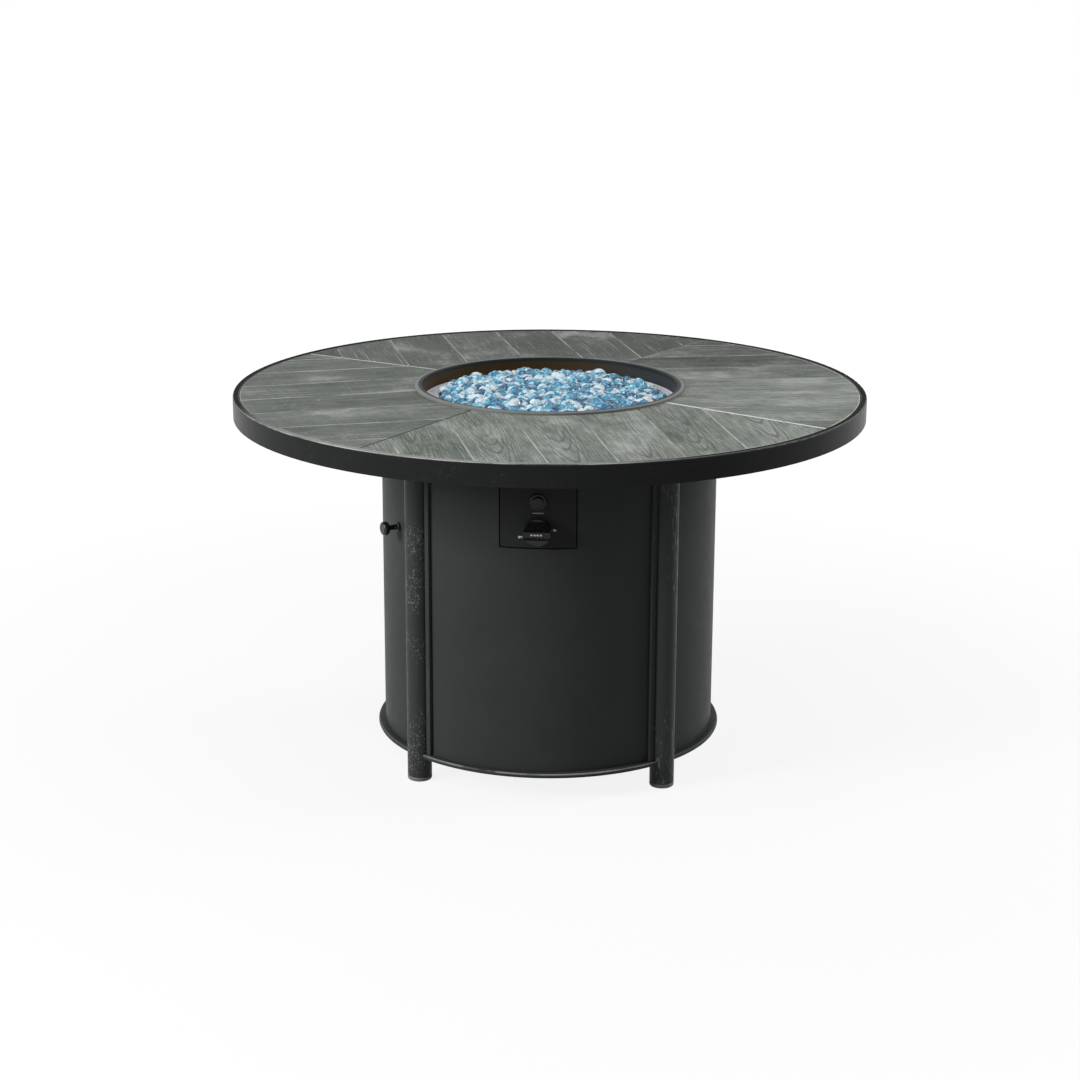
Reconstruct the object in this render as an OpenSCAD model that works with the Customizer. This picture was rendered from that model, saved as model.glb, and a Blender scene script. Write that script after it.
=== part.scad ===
// Round gas fire pit table: a drum-shaped cabinet on four tube legs carries a slatted round top with a
// fire bowl in its middle. Sizes are in millimetres. The origin is on the floor under the middle of the
// table, +Z points up and the control plate faces -Y.

/* [Table top] */
// Diameter across the rim band
top_d = 1066; // [900:2:1200]
// Height of the rim's top edge above the floor
table_h = 632; // [615:1:720]
// Height of the rim band
rim_h = 37; // [30:1:60]
// Wall thickness of the rim's channel
rim_wall = 3; // [2:0.5:3.5]
// Width of the rim's top edge
rim_edge_w = 11; // [8:0.5:20]
// Radius that rounds the corners of the rim's top edge
rim_round = 2.5; // [1:0.5:3.5]
// Width of the ledge inside the rim that carries the top panels
rim_ledge_w = 20; // [15:1:40]
// Thickness of that ledge
rim_ledge_t = 3; // [2:0.5:5]

/* [Top panels] */
// Height of a panel's outer edge
panel_edge_h = 12; // [9:0.5:20]
// How far the rim stands above the outer edge of the panels
rim_reveal = 1; // [0:0.25:3]
// Rise of the crowned top from the rim to the bowl
panel_rise = 5; // [0:0.5:12]
// Thickness of a panel's skin
panel_skin = 4; // [3:0.5:6]
// Width of the skirts along a panel's inner and outer edges
panel_skirt_w = 6; // [4:0.5:12]
// Spacing of the planks cast into a panel
plank_pitch = 105; // [60:1:160]
// Width of the grooves between the planks
groove_w = 2.6; // [1:0.2:5]
// Depth of the grooves between the planks
groove_depth = 1.2; // [0.6:0.1:2]
// Width of the open seam between two panels
seam_gap = 2; // [1:0.25:4]
// Turn of the plank pattern about the table's axis
plank_turn = 15; // [0:1:30]

/* [Top frame] */
// Width of a frame arm
arm_w = 30; // [25:1:40]
// Height of a frame arm
arm_h = 20; // [15:1:30]
// Wall thickness of a frame arm
arm_wall = 1.5; // [1:0.25:3]
// Width of the ring that carries the panels round the bowl
inner_ring_w = 26; // [18:1:36]
// Thickness of the ring on the leg tops
top_ring_t = 5; // [3:0.5:8]
// Width of the ring on the leg tops
top_ring_w = 36; // [30:1:44]

/* [Fire bowl] */
// Clear diameter inside the bowl collar
bowl_d = 432; // [380:1:440]
// Wall thickness of the bowl collar
bowl_wall = 2; // [1:0.25:3]
// Width of the collar's lip
lip_w = 12; // [10:0.5:18]
// Height of the collar's lip above the panels
lip_h = 4.5; // [3:0.5:8]
// Radius that rounds the lip
lip_round = 2; // [1:0.25:2.5]
// Depth from the top of the lip to the pan's floor
bowl_depth = 30; // [26:0.5:34]
// Width of the ledge that carries the pan
bowl_ledge_w = 14; // [8:1:20]
// Sheet thickness of the pan
pan_t = 1.5; // [0.8:0.1:2.5]
// Height of the pan's turned-up edge
pan_edge_h = 5; // [3:0.5:10]
// Gap between the bed of fire glass and the collar's wall
glass_margin = 19; // [16:0.5:45]
// Height of the glass bed at its edge
glass_edge_h = 9; // [6:0.5:12]
// Depth of glass above the top of the burner ring
glass_cover = 4; // [3:0.5:8]
// Width of the largest chips of glass
chip_w = 26; // [20:1:30]
// How far the chips stand out of the glass between them
chip_rise = 2.5; // [1:0.25:2.5]

/* [Burner] */
// Diameter of the burner ring at the middle of its section
burner_d = 210; // [180:1:260]
// Width and height of the burner ring's section
burner_tube_d = 16; // [12:0.5:18]
// Wall thickness of the burner ring
burner_wall = 1.2; // [0.8:0.1:1.6]
// Number of flame ports in the ring
port_n = 24; // [12:2:36]
// Diameter of a flame port
port_d = 2.4; // [1.5:0.1:3]
// Diameter of the tubes that feed the ring
feed_d = 12; // [8:0.5:13]
// Diameter of the burner's threaded hub
hub_d = 26; // [24:0.5:34]
// Length of the hub below the pan's floor
hub_drop = 20; // [16:0.5:26]
// Diameter of the air mixer's body
mixer_d = 28; // [26:0.5:36]
// Length of the air mixer's body
mixer_len = 28; // [24:0.5:36]
// Outer diameter of the gas tube
gas_tube_d = 9.5; // [8:0.1:11]
// Wall thickness of the gas tube
gas_tube_wall = 1; // [0.6:0.1:1.5]
// Radius of the gas tube's bends
gas_bend_r = 28; // [20:1:30]
// Distance of the spark electrode and the thermocouple from the table's middle, sideways
probe_x = 60; // [40:1:70]
// Distance of the spark electrode and the thermocouple from the table's middle, forwards
probe_y = 30; // [22:1:40]
// Diameter of the electrode's ceramic
electrode_d = 8; // [6:0.5:9]
// Diameter of the thermocouple's sheath
thermocouple_d = 6.4; // [5:0.2:9]
// Diameter of the ignition lead
spark_lead_d = 4; // [3:0.5:5]
// Diameter of the thermocouple lead
thermo_lead_d = 3; // [2:0.5:4]

/* [Cabinet] */
// Outer diameter of the drum
drum_d = 570.8; // [550:0.2:600]
// Sheet thickness of the drum panels
sheet_t = 1.5; // [1:0.1:2.5]
// Diameter of the base ring
base_ring_d = 594.4; // [580:0.2:620]
// Width of the base ring
base_ring_w = 47; // [42:1:60]
// Thickness of the base ring
base_ring_t = 8; // [6:0.5:12]
// Radius that rounds the base ring's edge
base_ring_round = 3; // [1:0.25:3]
// Height of the base ring above the floor
base_ring_z = 41; // [30:1:80]
// Thickness of the base plate
base_plate_t = 1.5; // [1:0.1:3]
// Diameter of the vent holes in the base plate
vent_d = 24; // [10:1:30]
// Number of vent holes in the base plate
vent_n = 8; // [4:1:10]
// Inner diameter of the ring that locates the gas bottle
bottle_ring_d = 236; // [210:1:260]
// Height of the ring that locates the gas bottle
bottle_ring_h = 25; // [15:1:40]
// Wall thickness of the ring that locates the gas bottle
bottle_ring_t = 2.5; // [1.5:0.5:4]

/* [Legs] */
// Diameter of a leg tube
leg_d = 41; // [36:0.5:46]
// Wall thickness of a leg tube
leg_wall = 1.5; // [1:0.25:2.5]
// Diameter of the circle through the legs' axes
leg_circle_d = 576.2; // [570:0.2:584]
// Height of the part of a foot cap that shows
foot_h = 8; // [5:0.5:15]
// Radius that rounds the foot caps
foot_round = 3; // [1:0.5:4]
// Length of a foot cap's plug inside the tube
foot_plug_h = 22; // [10:1:40]
// Length of the threaded plug in a leg's top
leg_plug_h = 25; // [20:1:40]
// Width of an upright cover strip
strip_w = 10; // [8:0.5:12]
// Thickness of an upright cover strip
strip_t = 5; // [4:0.5:8]
// Radius that rounds the strips' edges
strip_round = 1.5; // [0.5:0.25:1.75]
// Thickness of the door stops
stop_t = 2; // [1.5:0.25:3]
// Overlap of the stops behind the door
stop_overlap = 8; // [5:0.5:12]

/* [Door] */
// Gap between the door's upright edges and the strips
door_gap = 2.5; // [1.5:0.25:4]
// Gap under the door
door_foot_gap = 2; // [1:0.25:4]
// Gap over the door
door_head_gap = 4; // [2:0.25:8]
// Distance of each hinge from the door's lower or upper edge
hinge_inset = 80; // [50:1:140]
// Diameter of a hinge pin
hinge_pin_d = 4; // [3:0.1:4.2]
// Diameter of a hinge knuckle
hinge_barrel_d = 6.4; // [6.2:0.1:7.4]
// Height of a hinge's middle knuckle
hinge_mid_h = 20; // [14:1:30]
// Height of a hinge's end knuckles
hinge_end_h = 10; // [6:1:16]
// Thickness of the hinge leaves on the frame
hinge_leaf_t = 1.8; // [1.4:0.1:2.2]
// Width of the hinge leaves on the door
door_leaf_w = 23; // [18:1:30]
// Height of the pull knob's axis above the floor
pull_z = 426; // [200:1:540]
// Distance of the pull knob from the front-left leg, measured as an angle
pull_from_leg = 12.3; // [11:0.1:20]
// Diameter of the pull knob's head
pull_head_d = 23; // [18:0.5:28]
// Length of the pull knob
pull_len = 31; // [26:0.5:40]
// Length of the magnet catch
magnet_h = 46; // [30:1:80]
// Height of the magnet catch above the floor
magnet_z = 320; // [150:1:480]

/* [Controls] */
// Width of the control plate
plate_w = 122; // [100:1:150]
// Height of the control plate
plate_h = 138; // [125:1:150]
// Distance of the control plate's upper edge below the tops of the legs
plate_drop = 21; // [16:0.5:26]
// Gap round the control plate
plate_gap = 2.2; // [0.8:0.1:3]
// Width of the backing frame behind the edge of the plate
plate_back_w = 11; // [8:0.5:16]
// Height of the control knob above the plate's lower edge
knob_rise = 28.5; // [27:0.5:31]
// Diameter of the control knob
knob_d = 44; // [38:0.5:47]
// Depth of the control knob
knob_depth = 22; // [18:0.5:28]
// Thickness of the knob's skirt
knob_skirt = 7; // [5.5:0.25:9]
// Thickness of the knob's grip at its front
grip_t = 9; // [8:0.25:13]
// Travel of the knob when pushed
knob_travel = 4; // [2:0.25:4.5]
// Diameter of the valve stem
stem_d = 6; // [5:0.1:7]
// Height of the igniter button above the control knob
igniter_rise = 47.5; // [45:0.5:52]
// Diameter of the igniter's bezel
bezel_d = 27; // [25:0.5:32]
// Diameter of the igniter button
button_d = 18; // [16:0.5:18.4]
// How far the igniter button stands out of its bezel
button_proud = 5.5; // [4.5:0.25:8]
// Travel of the igniter button
button_travel = 4; // [2:0.25:4]
// Diameter of the igniter's battery
battery_d = 14.5; // [10.5:0.5:14.5]
// Length of the igniter's battery
battery_len = 50; // [44:0.5:50.5]
// Diameter of the valve's hose inlet
inlet_d = 15.88; // [12:0.02:16]
// Length of the valve's hose inlet
inlet_len = 16; // [12:0.5:24]

/* [Fasteners] */
// Diameter of the frame bolts
bolt_d = 8; // [6:0.5:8]
// Length of a frame bolt's thread in a leg
leg_bolt_thread = 18; // [12:0.5:20]
// Length of a frame bolt's thread in an arm
arm_bolt_thread = 8; // [5:0.5:12]
// Diameter of the panel screws
screw_d = 4; // [3:0.25:4.5]
// Distance of the outer panel screws from a panel's lower or upper edge
screw_inset = 60; // [30:1:100]

/* [Clearances] */
// Gap between curved pieces that are seated on each other
seat_gap = 0.25; // [0.1:0.05:0.4]
// Gap round pieces that slide or swing past others
slide_gap = 0.4; // [0.3:0.05:0.6]
// Radial play of pieces that turn on a pin or a stem
run_gap = 0.05; // [0.02:0.01:0.1]
// Radial play of bolts, screws and tubes in their holes
hole_gap = 0.15; // [0.1:0.05:0.3]
// Gap between a top panel and the rim, and between a panel and the bowl collar
panel_gap = 0.6; // [0.3:0.1:1]

/* [Hidden] */
$fn = 96;

// Radii
top_r = top_d / 2;
drum_r = drum_d / 2;
drum_in_r = drum_r - sheet_t;
leg_r = leg_d / 2;
leg_circle_r = leg_circle_d / 2;
bowl_r = bowl_d / 2;
rim_in_r = top_r - rim_edge_w;
panel_out_r = rim_in_r - panel_gap;
panel_in_r = bowl_r + bowl_wall + panel_gap;
landing_r = bowl_r + lip_w + 3;
inner_ring_r = panel_in_r + 0.5;

// Heights of the table top, from the rim down
ledge_top_z = table_h - rim_reveal - panel_edge_h;
ledge_z = ledge_top_z - rim_ledge_t;
landing_z = ledge_top_z + panel_edge_h + panel_rise;
edge_z = ledge_top_z + panel_edge_h;
lip_top_z = landing_z + lip_h;
pan_z = lip_top_z - bowl_depth;
arm_z = ledge_z - arm_h;
leg_top_z = arm_z - top_ring_t;
plate_z = leg_top_z - plate_drop - plate_h;
collar_z = pan_z - pan_t - bowl_wall;

// Frame arms
arm_in_r = inner_ring_r + 2.5;
arm_out_r = rim_in_r - 1.5;
seam_angles = [for (i = [0:3]) plank_turn + 45 + 90 * i];

// Cabinet heights
base_top_z = base_ring_z + base_ring_t;
panel_z0 = base_top_z + seat_gap;
panel_z1 = leg_top_z - seat_gap;
door_z0 = base_top_z + door_foot_gap;
door_z1 = leg_top_z - door_head_gap;
base_plate_r = leg_circle_r - leg_r - 3.5;
base_plate_seat = 8;
base_ring_in_r = min(base_ring_d / 2 - base_ring_w, base_plate_r - base_plate_seat);

// Polar angles of the legs: front left, front right, rear right, rear left
leg_angles = [225, 315, 45, 135];
fl = leg_angles[0];
fr = leg_angles[1];
rr = leg_angles[2];
rl = leg_angles[3];

// Distances along the tangent from a leg's axis
strip_near = leg_r + 0.3;
strip_far = strip_near + strip_w;
sheet_edge = leg_r + 1.5;
door_edge = strip_far + door_gap;
stop_end = door_edge + stop_overlap;
sheet_edge_deg = asin(sheet_edge / drum_r);
door_edge_deg = asin(door_edge / drum_r);
door_span = 90 - 2 * door_edge_deg;
fixed_span = 90 - 2 * sheet_edge_deg;
strip_front = drum_r + strip_t;
stop_x = sqrt(drum_in_r ^ 2 - stop_end ^ 2) - 2 * slide_gap - stop_t;

// Screws of the fixed panels
screw_t = (sheet_edge + strip_far) / 2;
screw_head_r = 0.9 * screw_d;
screw_head_h = screw_d / 2;
screw_seat_x = sqrt(drum_in_r ^ 2 - (screw_t + screw_head_r) ^ 2) - seat_gap / 2;
screw_bite = strip_t - 2;
screw_heights = [panel_z0 + screw_inset, (panel_z0 + panel_z1) / 2, panel_z1 - screw_inset];

// Hinges, in the frame of the rear-left leg
hinge_pin_r = hinge_pin_d / 2;
hinge_barrel_r = hinge_barrel_d / 2;
hinge_x = strip_front + hinge_leaf_t - hinge_barrel_r;
hinge_t = strip_far + hinge_barrel_r + slide_gap;
hinge_heights = [door_z0 + hinge_inset, door_z1 - hinge_inset];
hinge_h = hinge_mid_h + 2 * (hinge_end_h + slide_gap);
door_leaf_deg = door_edge_deg + asin(door_leaf_w / 2 / drum_r);
hinge_polar_r = norm([hinge_x, hinge_t]);
hinge_lag_deg = door_leaf_deg - atan2(hinge_t, hinge_x);
leaf_axis_x = hinge_polar_r * cos(hinge_lag_deg);
leaf_axis_t = -hinge_polar_r * sin(hinge_lag_deg);
door_leaf_top = leaf_axis_x - (hinge_barrel_r + hinge_pin_r + run_gap) / 2;

// Pull knob
pull_deg = fl - pull_from_leg;
pull_neck_r = 4.2;
pull_base_r = 7.5;
pull_base_h = 4;
pull_head_h = 11;
pull_screw_bite = 12;

// Control plate
plate_half_deg = asin(plate_w / 2 / drum_r);
plate_gap_deg = asin(plate_gap / drum_r);
plate_back_deg = asin(plate_back_w / drum_r);
knob_z = plate_z + knob_rise;
igniter_z = knob_z + igniter_rise;

// Valve and control knob, measured outwards from the table's axis
stem_r = stem_d / 2;
valve_nut_x = drum_r + seat_gap;
valve_nut_t = 3.5;
bonnet_r = 8.7;
bonnet_x = valve_nut_x + valve_nut_t + 0.5;
shoulder_r = 12;
valve_x1 = drum_in_r - 7.6;
valve_x0 = valve_x1 - 36;
valve_half = 16;
valve_chamber_r = 7.3;
chamber_x1 = valve_x1 - 2;
chamber_x0 = valve_x0 + 6;
collar_len = 6.5;
valve_collar_x1 = chamber_x1 - 1;
valve_collar_x0 = valve_collar_x1 - collar_len;
stem_x0 = valve_collar_x0 - 2;
spring_x1 = valve_collar_x0 - knob_travel - slide_gap;
knob_x = bonnet_x + knob_travel - 3;
knob_recess = 4.5;
knob_recess_r = 17;
knob_r = knob_d / 2;
stem_x1 = knob_x + knob_depth - 5;
scoop_r = 26;
scoop_x = knob_x + knob_skirt + scoop_r;
scoop_z = grip_t / 2 + sqrt(scoop_r ^ 2 - (scoop_x - knob_x - knob_depth) ^ 2);

// Igniter
bezel_t = 3;
bezel_x = drum_r + seat_gap + bezel_t;
barrel_r = 10.5;
button_r = button_d / 2;
button_x1 = bezel_x + button_proud;
button_len = 14.5;
button_x0 = button_x1 - button_len;
igniter_spring_x1 = button_x0 - button_travel - slide_gap;
igniter_spring_len = 4;
battery_x1 = igniter_spring_x1 - igniter_spring_len;
battery_x0 = battery_x1 - battery_len;
igniter_x0 = battery_x0 - 2.5;

// Gas line: outlet behind the igniter, run above the gas bottle, orifice under the mixer
gas_tube_r = gas_tube_d / 2;
inlet_x = (valve_x0 + valve_x1) / 2;
outlet_r = gas_tube_r + 3.5;
outlet_behind = 5.75;
outlet_x = igniter_x0 - outlet_r - outlet_behind;
outlet_arm_half = outlet_r + 0.75;
outlet_boss_h = 12;
outlet_top_z = knob_z + valve_half + outlet_boss_h;
tube_socket = 10;
hub_z = pan_z - hub_drop;
mixer_z = hub_z - mixer_len;
orifice_h = 12;
orifice_z = mixer_z - orifice_h;
orifice_socket = 6;
gas_stub = 2;
gas_run_z = orifice_z - gas_bend_r - gas_stub;

// Burner
burner_r = burner_d / 2;
burner_tube_r = burner_tube_d / 2;
burner_z = pan_z + burner_tube_r + seat_gap;
feed_r = feed_d / 2;
hub_r = hub_d / 2;
hub_bore_r = hub_r - 3.5;
hub_flange_r = hub_r + 7;
hub_flange_t = 3;
hub_top_z = burner_z + feed_r + 2;
mixer_r = mixer_d / 2;
orifice_r = 5;
glass_top_z = burner_z + burner_tube_r + glass_cover;
glass_r = bowl_r - glass_margin;
glass_flat_margin = 10;
glass_flat_r = burner_r + burner_tube_r + glass_flat_margin;
glass_edge_round = 5;
glass_slope = (glass_top_z - pan_z - glass_edge_h) / (glass_r - glass_edge_round - glass_flat_r);
chip_turn = 137.508;
chip_step = 0.65 * chip_w;
chip_count = floor(((glass_r - chip_w / 2 - glass_edge_round) / chip_step) ^ 2);
chip_sides = [5, 6, 7];
chip_tilts = [9, 14, 7, 17, 11];

// Probes through the pan and the leads that serve them
probe_tip_z = burner_z + burner_tube_r - 1;
probe_foot_z = pan_z - 18;
probe_shoulder = 5;
electrode_r = electrode_d / 2;
thermocouple_r = thermocouple_d / 2;
lead_run_z = probe_foot_z - 42;
lead_sides = 8;
lead_steps = 8;
spark_side = 8;
spark_route = [
    [-spark_side, -igniter_x0, igniter_z],
    [-spark_side, -igniter_x0 + 8, igniter_z],
    [-probe_x / 2, -igniter_x0 + 50, (igniter_z + lead_run_z) / 2],
    [-probe_x, -igniter_x0 + 100, lead_run_z],
    [-probe_x, -probe_y - 30, lead_run_z + 3],
    [-probe_x, -probe_y, probe_foot_z - 18],
    [-probe_x, -probe_y, probe_foot_z]
];
thermo_side = outlet_arm_half + 3;
thermo_drop = 8;
thermo_route = [
    [thermo_side, -valve_x0, knob_z - thermo_drop],
    [thermo_side, -valve_x0 + 12, knob_z - thermo_drop],
    [thermo_side + 2, -valve_x0 + 26, knob_z + 16],
    [thermo_side + 4, -valve_x0 + 30, igniter_z],
    [thermo_side + 14, -valve_x0 + 60, lead_run_z],
    [probe_x, -probe_y - 60, lead_run_z + 3],
    [probe_x, -probe_y - 20, lead_run_z + 8],
    [probe_x, -probe_y, probe_foot_z - 18],
    [probe_x, -probe_y, probe_foot_z]
];

// Frame bolts
bolt_r = bolt_d / 2;
bolt_head_r = 0.85 * bolt_d;
bolt_head_h = 0.5 * bolt_d;
bolt_circle_r = drum_in_r - bolt_head_r - 3;
leg_bolt_len = top_ring_t + leg_bolt_thread;
arm_bolt_len = top_ring_t + arm_wall + arm_bolt_thread;

// Ring on the leg tops: it takes in both circles of bolts
top_ring_margin = 2.3;
top_ring_r = leg_circle_r + bolt_head_r + top_ring_margin;
top_ring_in_r = min(top_ring_r - top_ring_w, bolt_circle_r - bolt_head_r - top_ring_margin);

// Colours
charcoal = [0.15, 0.155, 0.155];
black = [0.06, 0.06, 0.065];
slate = [0.36, 0.38, 0.36];
steel = [0.62, 0.63, 0.64];
brass = [0.71, 0.57, 0.29];
glass_blue = [0.36, 0.62, 0.78];
ceramic_white = [0.9, 0.88, 0.84];
plain_rubber = [0.1, 0.1, 0.1];

// Rectangle whose two corners away from x = 0 are rounded
module half_round_2d(w, h, r) {
    square([w - r, h]);
    translate([0, r])
        square([w, h - 2 * r]);
    for (y = [r, h - r])
        translate([w - r, y])
            circle(r);
}

// Rectangle whose two corners away from x = 0 are eased by two bevels each
module eased_2d(w, h, r) {
    mid = r * (1 - cos(45));
    polygon([
        [0, 0],
        [w - r, 0],
        [w - mid, mid],
        [w, r],
        [w, h - r],
        [w - mid, h - mid],
        [w - r, h],
        [0, h]
    ]);
}

// Rectangle whose two upper corners are rounded
module top_round_2d(w, h, r) {
    square([w, h - r]);
    translate([r, 0])
        square([w - 2 * r, h]);
    for (x = [r, w - r])
        translate([x, h - r])
            circle(r);
}

// Flat or tall ring round the table's axis
module ring(r_in, r_out, z0, z1) {
    rotate_extrude()
        translate([r_in, z0])
            square([r_out - r_in, z1 - z0]);
}

// Curved sheet between two heights, centred on a polar angle
module curved_sheet(r_out, t, z0, z1, mid, span) {
    rotate([0, 0, mid - span / 2])
        rotate_extrude(angle = span)
            translate([r_out - t, z0])
                square([t, z1 - z0]);
}

// Frame of a leg: +X points outwards through the leg's axis, +Y along the tangent
module at_polar(deg) {
    rotate([0, 0, deg])
        children();
}

// Frame of the control plate: +X points out of the cabinet's front, +Y to the right
module at_front() {
    rotate([0, 0, -90])
        children();
}

// Round bar along the outward direction, between two distances from the table's axis
module radial_rod(y, z, x0, x1, r, sides = $fn) {
    translate([x0, y, z])
        rotate([0, 90, 0])
            cylinder(r = r, h = x1 - x0, $fn = sides);
}

// Upright rectangular bar in a leg's frame, on the side of the leg that side names
module side_bar(side, x0, x1, t0, t1, z0, z1) {
    translate([x0, side > 0 ? t0 : -t1, z0])
        cube([x1 - x0, t1 - t0, z1 - z0]);
}

function unit(v) = v / norm(v);

// Point on the smooth curve through b and c, with a and d as their neighbours
function curve_point(a, b, c, d, u) =
    0.5 * (2 * b + (c - a) * u + (2 * a - 5 * b + 4 * c - d) * u ^ 2 + (3 * b - a - 3 * c + d) * u ^ 3);

// Smooth path through a list of points
function smooth_path(route, steps) =
    let (n = len(route))
    let (ends = concat([2 * route[0] - route[1]], route, [2 * route[n - 1] - route[n - 2]]))
    concat(
        [for (i = [0:n - 2], k = [0:steps - 1])
            curve_point(ends[i], ends[i + 1], ends[i + 2], ends[i + 3], k / steps)],
        [route[n - 1]]
    );

// Direction of a path at one of its points
function heading(path, i) =
    unit(path[min(i + 1, len(path) - 1)] - path[max(i - 1, 0)]);

// Ring of points round a path's point
function cord_ring(p, along, r, sides) =
    let (ex = unit(cross([1, 0, 0], along)))
    let (ey = cross(along, ex))
    [for (j = [0:sides - 1]) p + r * (cos(360 * j / sides) * ex + sin(360 * j / sides) * ey)];

// Round cord swept along a smooth path
module cord(route, r) {
    path = smooth_path(route, lead_steps);
    n = len(path);
    m = lead_sides;
    points = [for (i = [0:n - 1]) each cord_ring(path[i], heading(path, i), r, m)];
    walls = [
        for (i = [0:n - 2], j = [0:m - 1])
            [i * m + j, (i + 1) * m + j, (i + 1) * m + (j + 1) % m, i * m + (j + 1) % m]
    ];
    first_cap = [for (j = [0:m - 1]) j];
    last_cap = [for (j = [m - 1:-1:0]) (n - 1) * m + j];
    polyhedron(points = points, faces = concat([first_cap], walls, [last_cap]));
}

// Rim band: channel with rounded top corners that is open at its foot
module top_rim() {
    color(charcoal)
        rotate_extrude()
            translate([rim_in_r, table_h - rim_h])
                difference() {
                    top_round_2d(rim_edge_w, rim_h, rim_round);
                    translate([rim_wall, -1])
                        square([rim_edge_w - 2 * rim_wall, rim_h - rim_wall + 1]);
                }
}

// Flat ring inside the rim that carries the panels' outer edges
module rim_ledge() {
    color(charcoal)
        ring(rim_in_r - rim_ledge_w, rim_in_r - seat_gap, ledge_z, ledge_top_z);
}

// Layer from the panels' crowned surface upwards, lowered by a depth
module crown_layer(depth) {
    slope = panel_rise / (panel_out_r - landing_r);
    over = 2;
    rotate_extrude()
        polygon([
            [panel_in_r - over, landing_z - depth],
            [landing_r, landing_z - depth],
            [panel_out_r + over, edge_z - slope * over - depth],
            [panel_out_r + over, landing_z + over],
            [panel_in_r - over, landing_z + over]
        ]);
}

// Quarter of the crowned top: a skin on two skirts, with grooves that part it into planks
module top_panel(quarter) {
    half_n = floor(panel_out_r * sin(45) / plank_pitch);
    color(slate)
        rotate([0, 0, plank_turn + 90 * quarter])
            difference() {
                rotate([0, 0, -45])
                    rotate_extrude(angle = 90)
                        polygon([
                            [panel_in_r, ledge_top_z],
                            [panel_in_r + panel_skirt_w, ledge_top_z],
                            [panel_in_r + panel_skirt_w, landing_z - panel_skin],
                            [landing_r, landing_z - panel_skin],
                            [panel_out_r - panel_skirt_w, edge_z - panel_skin],
                            [panel_out_r - panel_skirt_w, ledge_top_z],
                            [panel_out_r, ledge_top_z],
                            [panel_out_r, edge_z],
                            [landing_r, landing_z],
                            [panel_in_r, landing_z]
                        ]);
                for (deg = [-45, 45])
                    rotate([0, 0, deg])
                        translate([0, -seam_gap / 2, ledge_top_z - 1])
                            cube([top_r, seam_gap, panel_edge_h + panel_rise + 2]);
                intersection() {
                    crown_layer(groove_depth);
                    for (k = [-half_n:half_n])
                        translate([landing_r * 0.4, k * plank_pitch - groove_w / 2, ledge_top_z])
                            cube([top_r, groove_w, panel_edge_h + panel_rise + 2]);
                }
            }
}

// Flat ring under the panels' inner edges
module frame_inner_ring() {
    color(charcoal)
        ring(inner_ring_r, inner_ring_r + inner_ring_w, ledge_z, ledge_top_z);
}

// Hollow arms under the seams, from the inner ring to the rim
module frame_arms() {
    arm_len = arm_out_r - arm_in_r;
    color(charcoal)
        for (deg = seam_angles)
            at_polar(deg)
                difference() {
                    translate([arm_in_r, -arm_w / 2, arm_z])
                        cube([arm_len, arm_w, arm_h]);
                    translate([arm_in_r - 1, arm_wall - arm_w / 2, arm_z + arm_wall])
                        cube([arm_len + 2, arm_w - 2 * arm_wall, arm_h - 2 * arm_wall]);
                    translate([bolt_circle_r, 0, arm_z - 1])
                        cylinder(r = bolt_r + hole_gap, h = arm_wall + 2);
                }
}

// Ring on the leg tops that carries the arms
module top_ring() {
    color(charcoal)
        difference() {
            ring(top_ring_in_r, top_ring_r, leg_top_z, arm_z);
            for (deg = leg_angles)
                at_polar(deg)
                    translate([leg_circle_r, 0, leg_top_z - 1])
                        cylinder(r = bolt_r + hole_gap, h = top_ring_t + 2);
            for (deg = seam_angles)
                at_polar(deg)
                    translate([bolt_circle_r, 0, leg_top_z - 1])
                        cylinder(r = bolt_r + hole_gap, h = top_ring_t + 2);
        }
}

// Drop-in collar: rounded lip on the panels, wall, and ledge for the pan
module bowl_collar() {
    color(black)
        rotate_extrude() {
            translate([bowl_r, landing_z])
                top_round_2d(lip_w, lip_h, lip_round);
            translate([bowl_r, collar_z])
                square([bowl_wall, landing_z - collar_z + 1]);
            translate([bowl_r - bowl_ledge_w, collar_z])
                square([bowl_ledge_w + 1, bowl_wall]);
        }
}

// Pale sheet pan with a turned-up edge, holes for the hub and the two probes
module burner_pan() {
    pan_r = bowl_r - panel_gap;
    color(steel)
        difference() {
            union() {
                translate([0, 0, pan_z - pan_t])
                    cylinder(r = pan_r, h = pan_t);
                ring(pan_r - pan_t, pan_r, pan_z - pan_t / 2, pan_z + pan_edge_h);
            }
            translate([0, 0, pan_z - pan_t - 1])
                cylinder(r = hub_r + hole_gap, h = pan_t + 2);
            translate([-probe_x, -probe_y, pan_z - pan_t - 1])
                cylinder(r = electrode_r + hole_gap, h = pan_t + 2);
            translate([probe_x, -probe_y, pan_z - pan_t - 1])
                cylinder(r = thermocouple_r + hole_gap, h = pan_t + 2);
        }
}

// Height of the chips' tops at a distance from the bowl's axis
function glass_top_at(r) = glass_top_z - max(0, r - glass_flat_r) * glass_slope;

// Chips of glass along a spiral, each a golden angle further round and tilted its own way
module glass_chips() {
    for (k = [0:chip_count - 1]) {
        away = chip_step * sqrt(k + 0.5);
        tilt = chip_tilts[k % len(chip_tilts)];
        wide = chip_w / 2 * (1 - 0.1 * (k % 4));
        tall = chip_w / 2;
        reach = tall / 2 * cos(tilt) + wide * sin(tilt);
        rotate([0, 0, k * chip_turn])
            translate([away, 0, glass_top_at(away) - reach])
                rotate([0, tilt, 3 * k * chip_turn])
                    cylinder(r = wide, h = tall, center = true, $fn = chip_sides[k % len(chip_sides)]);
    }
}

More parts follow.
